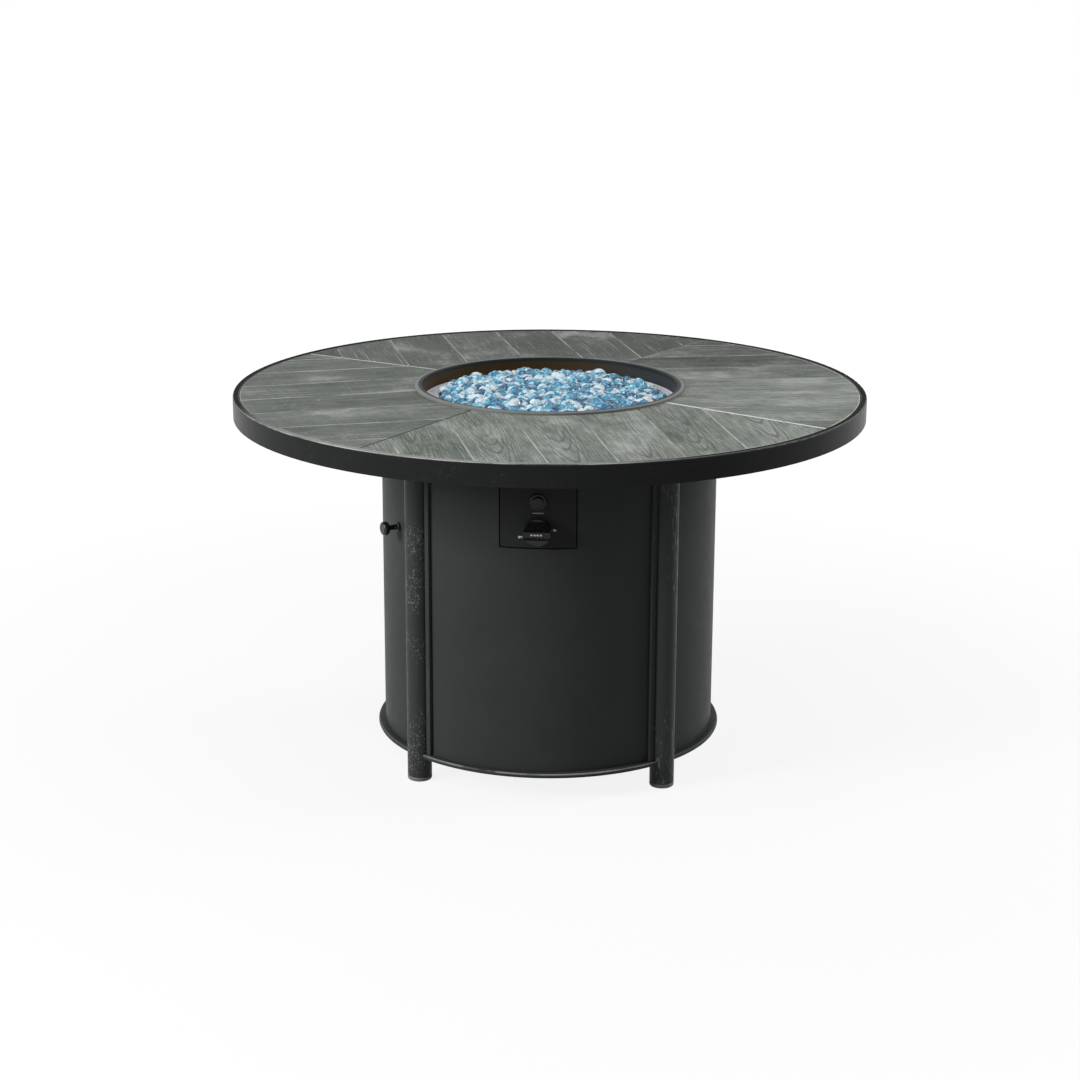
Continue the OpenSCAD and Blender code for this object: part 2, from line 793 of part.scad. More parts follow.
// Bed of fire glass: a low mound of chips that is hollowed out from below round the burner and the probes
module fire_glass() {
    free = 2 * slide_gap;
    void_h = burner_z + burner_tube_r + free - pan_z;
    bed_top_z = glass_top_z - chip_rise;
    bed_edge_z = pan_z + glass_edge_h - chip_rise;
    color(glass_blue, 0.7)
        difference() {
            union() {
                rotate_extrude()
                    polygon([
                        [0, pan_z],
                        [glass_r, pan_z],
                        [glass_r, bed_edge_z - glass_edge_round],
                        [glass_r - glass_edge_round, bed_edge_z],
                        [glass_flat_r, bed_top_z],
                        [0, bed_top_z]
                    ]);
                glass_chips();
            }
            translate([0, 0, pan_z - chip_w])
                cylinder(r = glass_r + 1, h = chip_w);
            ring(burner_r - burner_tube_r - free, burner_r + burner_tube_r + free, pan_z - 1, pan_z + void_h);
            translate([-burner_r, -feed_r - free, pan_z - 1])
                cube([burner_d, feed_d + 2 * free, void_h + 1]);
            translate([0, 0, pan_z - 1])
                cylinder(r = hub_flange_r + free, h = void_h + 1);
            for (x = [-probe_x, probe_x])
                translate([x, -probe_y, pan_z - 1])
                    cylinder(r = max(electrode_r, thermocouple_r) + free, h = void_h + 1);
        }
}

// Ring burner: ported ring of box section, two feed tubes and the threaded hub
module burner_ring() {
    inside_r = burner_tube_r - burner_wall;
    color(steel)
        difference() {
            union() {
                ring(burner_r - burner_tube_r, burner_r + burner_tube_r, burner_z - burner_tube_r,
                    burner_z + burner_tube_r);
                translate([-burner_r, 0, burner_z])
                    rotate([0, 90, 0])
                        cylinder(r = feed_r, h = burner_d);
                translate([0, 0, hub_z])
                    cylinder(r = hub_r, h = hub_top_z - hub_z);
                translate([0, 0, pan_z])
                    cylinder(r = hub_flange_r, h = hub_flange_t);
            }
            ring(burner_r - inside_r, burner_r + inside_r, burner_z - inside_r, burner_z + inside_r);
            translate([-burner_r, 0, burner_z])
                rotate([0, 90, 0])
                    cylinder(r = feed_r - burner_wall, h = burner_d);
            translate([0, 0, hub_z - 1])
                cylinder(r = hub_bore_r, h = burner_z - hub_z + 1);
            for (i = [0:port_n - 1])
                rotate([0, 0, (i + 0.5) * 360 / port_n])
                    translate([burner_r, 0, burner_z])
                        cylinder(d = port_d, h = burner_tube_d);
        }
}

// Hexagon nut on the hub, under the pan
module burner_nut() {
    nut_h = 6;
    color(steel)
        difference() {
            translate([0, 0, pan_z - pan_t - nut_h])
                cylinder(r = hub_r + 7, h = nut_h, $fn = 6);
            translate([0, 0, pan_z - pan_t - nut_h - 1])
                cylinder(r = hub_r + hole_gap, h = nut_h + 2);
        }
}

// Air mixer: venturi body with two air windows and a spigot in the hub
module air_mixer() {
    floor_t = 4;
    spigot_r = hub_bore_r - hole_gap;
    spigot_h = hub_drop / 2;
    bore_r = spigot_r - 1.5;
    window_h = mixer_len / 2 - floor_t;
    color(steel)
        difference() {
            union() {
                translate([0, 0, mixer_z])
                    cylinder(r = mixer_r, h = mixer_len);
                translate([0, 0, mixer_z])
                    cylinder(r = spigot_r, h = mixer_len + spigot_h);
            }
            translate([0, 0, mixer_z + floor_t])
                cylinder(r = bore_r, h = mixer_len + spigot_h);
            translate([0, 0, mixer_z - 1])
                cylinder(r = orifice_r + hole_gap, h = floor_t + 2);
            translate([-mixer_d, -bore_r / 2, mixer_z + floor_t + 2])
                cube([2 * mixer_d, bore_r, window_h]);
        }
}

// Brass orifice: hexagon with a socket for the gas tube and a spigot in the mixer's floor
module gas_orifice() {
    spigot_h = 7;
    jet_r = 1;
    color(brass)
        difference() {
            union() {
                translate([0, 0, orifice_z])
                    cylinder(r = gas_tube_r + 5, h = orifice_h, $fn = 6);
                translate([0, 0, orifice_z + orifice_h / 2])
                    cylinder(r = orifice_r, h = orifice_h / 2 + spigot_h);
            }
            translate([0, 0, orifice_z - 1])
                cylinder(r = gas_tube_r + hole_gap, h = orifice_socket + 1);
            translate([0, 0, orifice_z])
                cylinder(r = jet_r, h = 2 * orifice_h + spigot_h);
        }
}

// Round bar along the gas line: riser, bend, level run, bend, riser
module gas_line(r) {
    riser_z = outlet_top_z - tube_socket;
    turn_z = gas_run_z - gas_bend_r;
    translate([0, -outlet_x, riser_z])
        cylinder(r = r, h = turn_z - riser_z);
    translate([0, gas_bend_r - outlet_x, turn_z])
        rotate([90, 0, -90])
            rotate_extrude(angle = 90)
                translate([gas_bend_r, 0])
                    circle(r);
    translate([0, gas_bend_r - outlet_x, gas_run_z])
        rotate([-90, 0, 0])
            cylinder(r = r, h = outlet_x - 2 * gas_bend_r);
    translate([0, -gas_bend_r, gas_run_z + gas_bend_r])
        rotate([0, 90, 0])
            rotate_extrude(angle = 90)
                translate([gas_bend_r, 0])
                    circle(r);
    translate([0, 0, gas_run_z + gas_bend_r])
        cylinder(r = r, h = orifice_z + orifice_socket - gas_run_z - gas_bend_r);
}

// Formed gas tube from the valve's outlet to the orifice
module gas_tube() {
    color(brass)
        difference() {
            gas_line(gas_tube_r);
            gas_line(gas_tube_r - gas_tube_wall);
        }
}

// Valve body: block with bonnet and shoulder, arm with the outlet, hose inlet and the stem's chamber
module gas_valve() {
    inlet_hex_h = 5;
    inlet_z = knob_z - valve_half - inlet_hex_h - inlet_len;
    bore_r = gas_tube_r - gas_tube_wall;
    arm_x0 = outlet_x - outlet_arm_half;
    color(brass)
        at_front()
            difference() {
                union() {
                    translate([valve_x0, -valve_half, knob_z - valve_half])
                        cube([valve_x1 - valve_x0, 2 * valve_half, 2 * valve_half]);
                    translate([arm_x0, -outlet_arm_half, knob_z - outlet_arm_half])
                        cube([valve_x0 + 1 - arm_x0, 2 * outlet_arm_half, 2 * outlet_arm_half]);
                    radial_rod(0, knob_z, valve_x1 - 1, drum_in_r - seat_gap, shoulder_r);
                    radial_rod(0, knob_z, valve_x1 - 1, bonnet_x, bonnet_r);
                    translate([outlet_x, 0, knob_z])
                        cylinder(r = outlet_r, h = outlet_top_z - knob_z);
                    translate([inlet_x, 0, inlet_z + inlet_len])
                        cylinder(r = inlet_d / 2 + 3, h = inlet_hex_h + 1, $fn = 6);
                    translate([inlet_x, 0, inlet_z])
                        cylinder(d = inlet_d, h = inlet_len + 1);
                }
                radial_rod(0, knob_z, chamber_x0, chamber_x1, valve_chamber_r);
                radial_rod(0, knob_z, chamber_x1 - 1, bonnet_x + 1, stem_r + slide_gap);
                radial_rod(0, knob_z, outlet_x, chamber_x0 + 1, bore_r);
                translate([outlet_x, 0, outlet_top_z - tube_socket])
                    cylinder(r = gas_tube_r + hole_gap, h = tube_socket + 1);
                translate([outlet_x, 0, knob_z])
                    cylinder(r = bore_r, h = outlet_top_z - knob_z);
                translate([inlet_x, 0, inlet_z - 1])
                    cylinder(r = inlet_d / 4, h = knob_z - inlet_z + 1);
            }
}

// Hexagon nut that clamps the valve's bonnet to the control plate
module valve_nut() {
    color(steel)
        at_front()
            difference() {
                radial_rod(0, knob_z, valve_nut_x, valve_nut_x + valve_nut_t, bonnet_r + 4.5, 6);
                radial_rod(0, knob_z, valve_nut_x - 1, valve_nut_x + valve_nut_t + 1, bonnet_r + hole_gap);
            }
}

// Collar that slides in the valve's chamber and carries the turning stem
module valve_collar() {
    color(brass)
        at_front()
            difference() {
                radial_rod(0, knob_z, valve_collar_x0, valve_collar_x1, valve_chamber_r - slide_gap);
                radial_rod(0, knob_z, valve_collar_x0 - 1, valve_collar_x1 + 1, stem_r + run_gap);
            }
}

// Return spring of the stem as a plain sleeve, at its pressed length
module valve_spring() {
    color(steel)
        at_front()
            difference() {
                radial_rod(0, knob_z, chamber_x0, spring_x1, valve_chamber_r - 2 * slide_gap);
                radial_rod(0, knob_z, chamber_x0 - 1, spring_x1 + 1, stem_r + 2 * slide_gap);
            }
}

// Stem from the valve's chamber into the control knob
module valve_stem() {
    color(steel)
        at_front()
            radial_rod(0, knob_z, stem_x0, stem_x1, stem_r);
}

// Control knob: round body with two scooped flanks that leave a level grip
module control_knob() {
    color(black)
        at_front()
            difference() {
                translate([knob_x, 0, knob_z])
                    rotate([0, 90, 0])
                        rotate_extrude()
                            half_round_2d(knob_r, knob_depth, 1.5);
                for (side = [-1, 1])
                    translate([scoop_x, -knob_d, knob_z + side * scoop_z])
                        rotate([-90, 0, 0])
                            cylinder(r = scoop_r, h = 2 * knob_d);
                radial_rod(0, knob_z, knob_x - 1, knob_x + knob_recess, knob_recess_r);
                radial_rod(0, knob_z, knob_x, stem_x1 + 0.5, stem_r + run_gap);
            }
}

// Control plate, flush with the front panel
module control_plate() {
    color(charcoal)
        difference() {
            curved_sheet(drum_r, sheet_t, plate_z, plate_z + plate_h, -90, 2 * plate_half_deg);
            at_front()
                radial_rod(0, knob_z, drum_in_r - 10, drum_r + 10, bonnet_r + hole_gap);
            at_front()
                radial_rod(0, igniter_z, drum_in_r - 10, drum_r + 10, barrel_r + hole_gap);
        }
}

// Frame behind the joint of the control plate and the front panel
module control_frame() {
    back_r = drum_in_r - seat_gap / 2;
    window_z0 = plate_z + plate_back_w;
    window_z1 = plate_z + plate_h - plate_back_w;
    color(charcoal)
        difference() {
            curved_sheet(back_r, sheet_t, plate_z - plate_back_w, plate_z + plate_h + plate_back_w, -90,
                2 * (plate_half_deg + plate_back_deg));
            curved_sheet(back_r + 1, sheet_t + 2, window_z0, window_z1, -90,
                2 * (plate_half_deg - plate_back_deg));
        }
}

// Igniter body: bezel, threaded barrel through the plate, and the battery's tube
module igniter_body() {
    color(black)
        at_front()
            difference() {
                union() {
                    translate([drum_r + seat_gap, 0, igniter_z])
                        rotate([0, 90, 0])
                            rotate_extrude()
                                half_round_2d(bezel_d / 2, bezel_t, 1);
                    radial_rod(0, igniter_z, igniter_x0, bezel_x - 1, barrel_r);
                }
                radial_rod(0, igniter_z, battery_x1, bezel_x + 1, button_r + slide_gap);
                radial_rod(0, igniter_z, battery_x0, battery_x1 + 1, battery_d / 2 + 2 * hole_gap);
            }
}

// Hexagon nut that clamps the igniter behind the control plate
module igniter_nut() {
    nut_t = 6;
    nut_r = barrel_r + 4.5;
    nut_x1 = sqrt(drum_in_r ^ 2 - nut_r ^ 2) - seat_gap / 2;
    color(black)
        at_front()
            difference() {
                radial_rod(0, igniter_z, nut_x1 - nut_t, nut_x1, nut_r, 6);
                radial_rod(0, igniter_z, nut_x1 - nut_t - 1, nut_x1 + 1, barrel_r + hole_gap);
            }
}

// Push button of the igniter, with a finger dish in its face
module igniter_button() {
    dish_r = 30;
    dish_depth = 1;
    color(black)
        at_front()
            difference() {
                translate([button_x0, 0, igniter_z])
                    rotate([0, 90, 0])
                        rotate_extrude()
                            half_round_2d(button_r, button_len, 1.2);
                translate([button_x1 + dish_r - dish_depth, 0, igniter_z])
                    sphere(dish_r);
            }
}

// Return spring of the button as a plain sleeve, at its pressed length
module igniter_spring() {
    color(steel)
        at_front()
            difference() {
                radial_rod(0, igniter_z, battery_x1, igniter_spring_x1, button_r - 3);
                radial_rod(0, igniter_z, battery_x1 - 1, igniter_spring_x1 + 1, button_r - 5);
            }
}

// Battery in the igniter's tube
module igniter_battery() {
    nub_len = 1.5;
    color(steel)
        at_front()
            union() {
                radial_rod(0, igniter_z, battery_x0, battery_x1, battery_d / 2);
                radial_rod(0, igniter_z, battery_x1 - 1, battery_x1 + nub_len, battery_d / 5);
            }
}

// Spark electrode: ceramic with a shoulder under the pan and a wire tip
module spark_electrode() {
    color(ceramic_white)
        translate([-probe_x, -probe_y, 0])
            union() {
                translate([0, 0, probe_foot_z])
                    cylinder(r = electrode_r, h = probe_tip_z - 6 - probe_foot_z);
                translate([0, 0, pan_z - pan_t - probe_shoulder])
                    cylinder(r = electrode_r + 3, h = probe_shoulder);
                translate([0, 0, probe_tip_z - 7])
                    cylinder(r = electrode_r / 3, h = 7);
            }
}

// Thermocouple: sheath with a shoulder under the pan
module thermocouple() {
    color(brass)
        translate([probe_x, -probe_y, 0])
            union() {
                translate([0, 0, probe_foot_z])
                    cylinder(r = thermocouple_r, h = probe_tip_z - probe_foot_z);
                translate([0, 0, pan_z - pan_t - probe_shoulder])
                    cylinder(r = thermocouple_r + 3, h = probe_shoulder);
            }
}

// Lead from the igniter to the spark electrode
module ignition_lead() {
    color(plain_rubber)
        cord(spark_route, spark_lead_d / 2);
}

// Lead from the thermocouple to the valve
module thermocouple_lead() {
    color(brass)
        cord(thermo_route, thermo_lead_d / 2);
}

// Holes for the panel screws along one strip, in a leg's frame
module screw_holes(side, x0, x1) {
    for (z = screw_heights)
        radial_rod(side * screw_t, z, x0, x1, screw_d / 2 + hole_gap);
}

// Fixed quarter of the drum between two legs
module fixed_panel(mid) {
    difference() {
        curved_sheet(drum_r, sheet_t, panel_z0, panel_z1, mid, fixed_span);
        at_polar(mid - 45)
            screw_holes(1, drum_in_r - 10, drum_r + 10);
        at_polar(mid + 45)
            screw_holes(-1, drum_in_r - 10, drum_r + 10);
    }
}

// Front panel with the window for the control plate
module front_panel() {
    color(charcoal)
        difference() {
            fixed_panel(-90);
            curved_sheet(drum_r + 2, sheet_t + 4, plate_z - plate_gap, plate_z + plate_h + plate_gap, -90,
                2 * (plate_half_deg + plate_gap_deg));
        }
}

// Right panel
module right_panel() {
    color(charcoal)
        fixed_panel(0);
}

// Rear panel
module rear_panel() {
    color(charcoal)
        fixed_panel(90);
}

// Left panel, which is the access door
module door_panel() {
    color(charcoal)
        difference() {
            curved_sheet(drum_r, sheet_t, door_z0, door_z1, 180, door_span);
            at_polar(pull_deg)
                radial_rod(0, pull_z, drum_in_r - 10, drum_r + 10, screw_d / 2 + hole_gap);
        }
}

// Turned pull knob: flared base, neck and mushroom head
module door_knob() {
    head_z = pull_len - pull_head_h;
    color(black)
        at_polar(pull_deg)
            translate([drum_r + seat_gap, 0, pull_z])
                rotate([0, 90, 0])
                    difference() {
                        rotate_extrude() {
                            half_round_2d(pull_base_r, pull_base_h, 1.5);
                            square([pull_neck_r, pull_len - 2]);
                            polygon([
                                [0, pull_base_h - 1],
                                [pull_base_r - 1.5, pull_base_h - 1],
                                [pull_neck_r, pull_base_h + 5],
                                [0, pull_base_h + 5]
                            ]);
                            polygon([
                                [0, head_z - 4],
                                [pull_neck_r, head_z - 4],
                                [pull_head_d / 2 - 3, head_z + 1],
                                [0, head_z + 1]
                            ]);
                            translate([0, head_z])
                                half_round_2d(pull_head_d / 2, pull_head_h, 4);
                        }
                        translate([0, 0, -1])
                            cylinder(r = screw_d / 2 + hole_gap, h = pull_screw_bite + 2);
                    }
}

// Screw that holds the pull knob from inside the door
module door_knob_screw() {
    seat_x = drum_in_r - 0.5 * seat_gap;
    color(steel)
        at_polar(pull_deg)
            union() {
                radial_rod(0, pull_z, seat_x - screw_head_h, seat_x, screw_head_r);
                radial_rod(0, pull_z, seat_x - 1, drum_r + pull_screw_bite, screw_d / 2);
            }
}

// Frame leaf of a hinge: plate on the strip, with an end knuckle above and below the door's knuckle
module hinge_frame_leaf(z) {
    knuckle_z = [z - hinge_h / 2, z + hinge_h / 2 - hinge_end_h];
    difference() {
        union() {
            translate([strip_front, strip_near + 0.5, z - hinge_h / 2])
                cube([hinge_leaf_t, strip_w - 1, hinge_h]);
            for (k = knuckle_z) {
                translate([strip_front, strip_far - 1, k])
                    cube([hinge_leaf_t, hinge_t - strip_far + 1, hinge_end_h]);
                translate([hinge_x, hinge_t, k])
                    cylinder(r = hinge_barrel_r, h = hinge_end_h);
            }
        }
        translate([hinge_x, hinge_t, z - hinge_h / 2 - 1])
            cylinder(r = hinge_pin_r + 0.4 * run_gap, h = hinge_h + 2);
    }
}

// Frame leaves of the two hinges
module hinge_frame_leaves() {
    color(charcoal)
        at_polar(rl)
            for (z = hinge_heights)
                hinge_frame_leaf(z);
}

// Door leaves of the two hinges, set on the tangent of the door's edge
module hinge_door_leaves() {
    leaf_x = drum_r + seat_gap;
    color(charcoal)
        at_polar(rl + door_leaf_deg)
            for (z = hinge_heights)
                difference() {
                    union() {
                        translate([leaf_x, leaf_axis_t, z - hinge_mid_h / 2])
                            cube([door_leaf_top - leaf_x, door_leaf_w / 2 - leaf_axis_t, hinge_mid_h]);
                        translate([leaf_axis_x, leaf_axis_t, z - hinge_mid_h / 2])
                            cylinder(r = hinge_barrel_r, h = hinge_mid_h);
                    }
                    translate([leaf_axis_x, leaf_axis_t, z - hinge_mid_h])
                        cylinder(r = hinge_pin_r + run_gap, h = 2 * hinge_mid_h);
                }
}

// Hinge pins with a head on top
module hinge_pins() {
    head_h = 1.5;
    color(steel)
        at_polar(rl)
            for (z = hinge_heights)
                translate([hinge_x, hinge_t, z - hinge_h / 2])
                    union() {
                        cylinder(r = hinge_pin_r, h = hinge_h + head_h);
                        translate([0, 0, hinge_h])
                            cylinder(r = hinge_barrel_r - 0.2, h = head_h);
                    }
}

// Magnet catch on the door stop by the front-left leg
module door_magnet() {
    nose_t1 = stop_end + 14;
    nose_x = sqrt(drum_in_r ^ 2 - nose_t1 ^ 2) - slide_gap;
    body_x0 = stop_x - 8;
    magnet_top_z = magnet_z + magnet_h;
    color(black)
        at_polar(fl)
            union() {
                side_bar(-1, body_x0, stop_x, door_edge, nose_t1, magnet_z, magnet_top_z);
                side_bar(-1, stop_x - 1, nose_x, stop_end + 1, nose_t1, magnet_z, magnet_top_z);
            }
}

// Leg tube
module leg(deg) {
    color(charcoal)
        at_polar(deg)
            translate([leg_circle_r, 0, foot_h])
                difference() {
                    cylinder(r = leg_r, h = leg_top_z - foot_h);
                    translate([0, 0, -1])
                        cylinder(r = leg_r - leg_wall, h = leg_top_z - foot_h + 2);
                }
}

// Upright cover strip on one side of a leg, plain beside a fixed panel, with a stop beside the door
module strip(side, door_side) {
    z0 = base_top_z;
    z1 = leg_top_z;
    difference() {
        union() {
            translate([drum_r, side > 0 ? strip_near : -strip_far, z0])
                linear_extrude(z1 - z0)
                    half_round_2d(strip_t, strip_w, strip_round);
            if (side == door_side) {
                side_bar(side, stop_x, drum_r + 1, sheet_edge, sheet_edge + 3, z0, z1);
                side_bar(side, stop_x, stop_x + stop_t, sheet_edge, stop_end, z0, z1);
            }
        }
        if (side != door_side)
            screw_holes(side, drum_r - 10, drum_r + screw_bite + 0.3);
    }
}

// Pair of cover strips of one leg; door_side is the side that the door is on, or 0
module leg_strips(deg, door_side) {
    color(charcoal)
        at_polar(deg)
            for (side = [-1, 1])
                strip(side, door_side);
}

// Moulded caps that the legs stand on
module foot_caps() {
    color(plain_rubber)
        for (deg = leg_angles)
            at_polar(deg)
                translate([leg_circle_r, 0, 0])
                    union() {
                        rotate_extrude()
                            half_round_2d(leg_r, foot_h, foot_round);
                        translate([0, 0, foot_h - 1])
                            cylinder(r = leg_r - leg_wall - hole_gap, h = foot_plug_h + 1);
                    }
}

// Base ring with a rounded edge, notched round the legs
module base_ring() {
    color(charcoal)
        difference() {
            translate([0, 0, base_ring_z])
                rotate_extrude()
                    translate([base_ring_in_r, 0])
                        eased_2d(base_ring_d / 2 - base_ring_in_r, base_ring_t, base_ring_round);
            for (deg = leg_angles)
                at_polar(deg)
                    translate([leg_circle_r, 0, base_ring_z - 1])
                        cylinder(r = leg_r + seat_gap, h = base_ring_t + 2);
        }
}

// Floor of the cabinet, with a ring of vent holes
module base_plate() {
    vent_r = bottle_ring_d / 2 + bottle_ring_t + vent_d + 20;
    color(charcoal)
        difference() {
            translate([0, 0, base_top_z])
                cylinder(r = base_plate_r, h = base_plate_t);
            for (i = [0:vent_n - 1])
                rotate([0, 0, (i + 0.5) * 360 / vent_n])
                    translate([vent_r, 0, base_top_z - 1])
                        cylinder(d = vent_d, h = base_plate_t + 2);
        }
}

// Ring on the base plate that keeps the gas bottle's foot in place
module bottle_ring() {
    ring_r = bottle_ring_d / 2;
    ring_z = base_top_z + base_plate_t;
    color(charcoal)
        ring(ring_r, ring_r + bottle_ring_t, ring_z, ring_z + bottle_ring_h);
}

// Threaded plugs in the leg tops
module leg_plugs() {
    color(steel)
        for (deg = leg_angles)
            at_polar(deg)
                translate([leg_circle_r, 0, leg_top_z - leg_plug_h])
                    difference() {
                        cylinder(r = leg_r - leg_wall - hole_gap, h = leg_plug_h);
                        translate([0, 0, -1])
                            cylinder(r = bolt_r + hole_gap, h = leg_plug_h + 2);
                    }
}

// Bolts of the frame: one down into each leg, one up into each arm
module frame_bolts() {
    color(steel) {
        for (deg = leg_angles)
            at_polar(deg)
                translate([leg_circle_r, 0, arm_z])
                    union() {
                        cylinder(r = bolt_head_r, h = bolt_head_h, $fn = 6);
                        translate([0, 0, -leg_bolt_len])
                            cylinder(r = bolt_r, h = leg_bolt_len + 1);
                    }
        for (deg = seam_angles)
            at_polar(deg)
                translate([bolt_circle_r, 0, leg_top_z - bolt_head_h])
                    union() {
                        cylinder(r = bolt_head_r, h = bolt_head_h, $fn = 6);
                        translate([0, 0, bolt_head_h - 1])
                            cylinder(r = bolt_r, h = arm_bolt_len + 1);
                    }
    }
}

// Screws that hold one edge of a fixed panel to its strip, in a leg's frame
module screw_row(side) {
    for (z = screw_heights)
        union() {
            radial_rod(side * screw_t, z, screw_seat_x - screw_head_h, screw_seat_x, screw_head_r);
            radial_rod(side * screw_t, z, screw_seat_x - 1, drum_r + screw_bite, screw_d / 2);
        }
}

// Screws of the three fixed panels
module panel_screws() {
    color(steel)
        for (mid = [-90, 0, 90]) {
            at_polar(mid - 45)
                screw_row(1);
            at_polar(mid + 45)
                screw_row(-1);
        }
}

top_rim();
rim_ledge();
top_panel(0);  // top_panel_right
top_panel(1);  // top_panel_back
top_panel(2);  // top_panel_left
top_panel(3);  // top_panel_front
frame_inner_ring();
frame_arms();
top_ring();
bowl_collar();
burner_pan();
fire_glass();
burner_ring();
burner_nut();
air_mixer();
gas_orifice();
gas_tube();
gas_valve();
valve_nut();
valve_collar();
valve_spring();
valve_stem();
control_knob();
control_plate();
control_frame();
igniter_body();
igniter_nut();
igniter_button();
igniter_spring();
igniter_battery();
spark_electrode();
ignition_lead();
thermocouple();
thermocouple_lead();
front_panel();
right_panel();
rear_panel();
door_panel();
door_knob();
door_knob_screw();
hinge_frame_leaves();
hinge_door_leaves();
hinge_pins();
door_magnet();
leg(fl);  // leg_front_left
leg(fr);  // leg_front_right
leg(rr);  // leg_rear_right
leg(rl);  // leg_rear_left
leg_strips(fl, -1);  // strips_front_left
leg_strips(fr, 0);  // strips_front_right
leg_strips(rr, 0);  // strips_rear_right
leg_strips(rl, 1);  // strips_rear_left
foot_caps();
base_ring();
base_plate();
bottle_ring();
leg_plugs();
frame_bolts();
panel_screws();
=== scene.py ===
"""Looks of a round gas fire pit table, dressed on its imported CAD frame.

The CAD nodes keep their shapes and get procedural finishes. New pieces are the loose glass in the bowl
and the printed marks on the controls. All lengths are in metres, in the frame of the CAD.
"""

import logging
import math
from dataclasses import dataclass, field
from enum import Enum
from typing import Any, Iterable, Optional, Sequence, Union

import bpy
import numpy as np
from mathutils import Matrix


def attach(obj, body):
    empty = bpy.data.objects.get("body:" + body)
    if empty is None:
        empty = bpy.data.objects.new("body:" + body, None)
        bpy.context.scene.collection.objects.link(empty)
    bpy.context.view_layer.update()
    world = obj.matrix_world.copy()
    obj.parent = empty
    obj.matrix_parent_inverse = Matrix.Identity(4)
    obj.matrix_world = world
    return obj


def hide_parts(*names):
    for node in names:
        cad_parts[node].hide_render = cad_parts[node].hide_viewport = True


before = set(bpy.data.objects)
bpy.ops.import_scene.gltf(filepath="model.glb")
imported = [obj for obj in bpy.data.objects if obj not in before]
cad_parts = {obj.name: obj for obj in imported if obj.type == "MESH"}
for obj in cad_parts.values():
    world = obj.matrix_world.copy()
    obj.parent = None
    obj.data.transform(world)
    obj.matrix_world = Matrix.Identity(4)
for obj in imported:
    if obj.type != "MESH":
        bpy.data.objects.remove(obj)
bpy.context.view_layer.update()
LOG = logging.getLogger("fire_pit_table")

Colour = tuple[float, float, float]
Point = tuple[float, float, float]
Span = tuple[float, float]
Array = np.ndarray

HALF_ROOT = 0.7071


class Body(Enum):
    """Bodies of the CAD that pieces ride on."""

    TABLE = "table"
    KNOB = "knob"


class Seam(Enum):
    """How the open seam at a panel's edge looks."""

    BRIGHT = 0.85
    SOFT = 0.45
    FAINT = 0.12
    DARK = -0.6


# Shader graph


class Sock:
    """An output socket whose arithmetic adds Math nodes to its graph."""

    def __init__(self, graph: "Graph", socket: bpy.types.NodeSocket) -> None:
        """Keeps the graph and the socket."""
        self.graph = graph
        self.socket = socket

    def __add__(self, other: "Value") -> "Sock":
        """Sum of this and another value."""
        return self.graph.math("ADD", self, other)

    __radd__ = __add__

    def __sub__(self, other: "Value") -> "Sock":
        """This less another value."""
        return self.graph.math("SUBTRACT", self, other)

    def __rsub__(self, other: "Value") -> "Sock":
        """A number less this."""
        return self.graph.math("SUBTRACT", other, self)

    def __mul__(self, other: "Value") -> "Sock":
        """Product of this and another value."""
        return self.graph.math("MULTIPLY", self, other)

    __rmul__ = __mul__

    def __truediv__(self, other: "Value") -> "Sock":
        """This over another value."""
        return self.graph.math("DIVIDE", self, other)

    def __rtruediv__(self, other: "Value") -> "Sock":
        """A number over this."""
        return self.graph.math("DIVIDE", other, self)

    def __abs__(self) -> "Sock":
        """Size of this without its sign."""
        return self.graph.math("ABSOLUTE", self)


Value = Union[Sock, float, int]
Tint = Union[Sock, Colour]
Place = tuple[Sock, Sock, Sock]


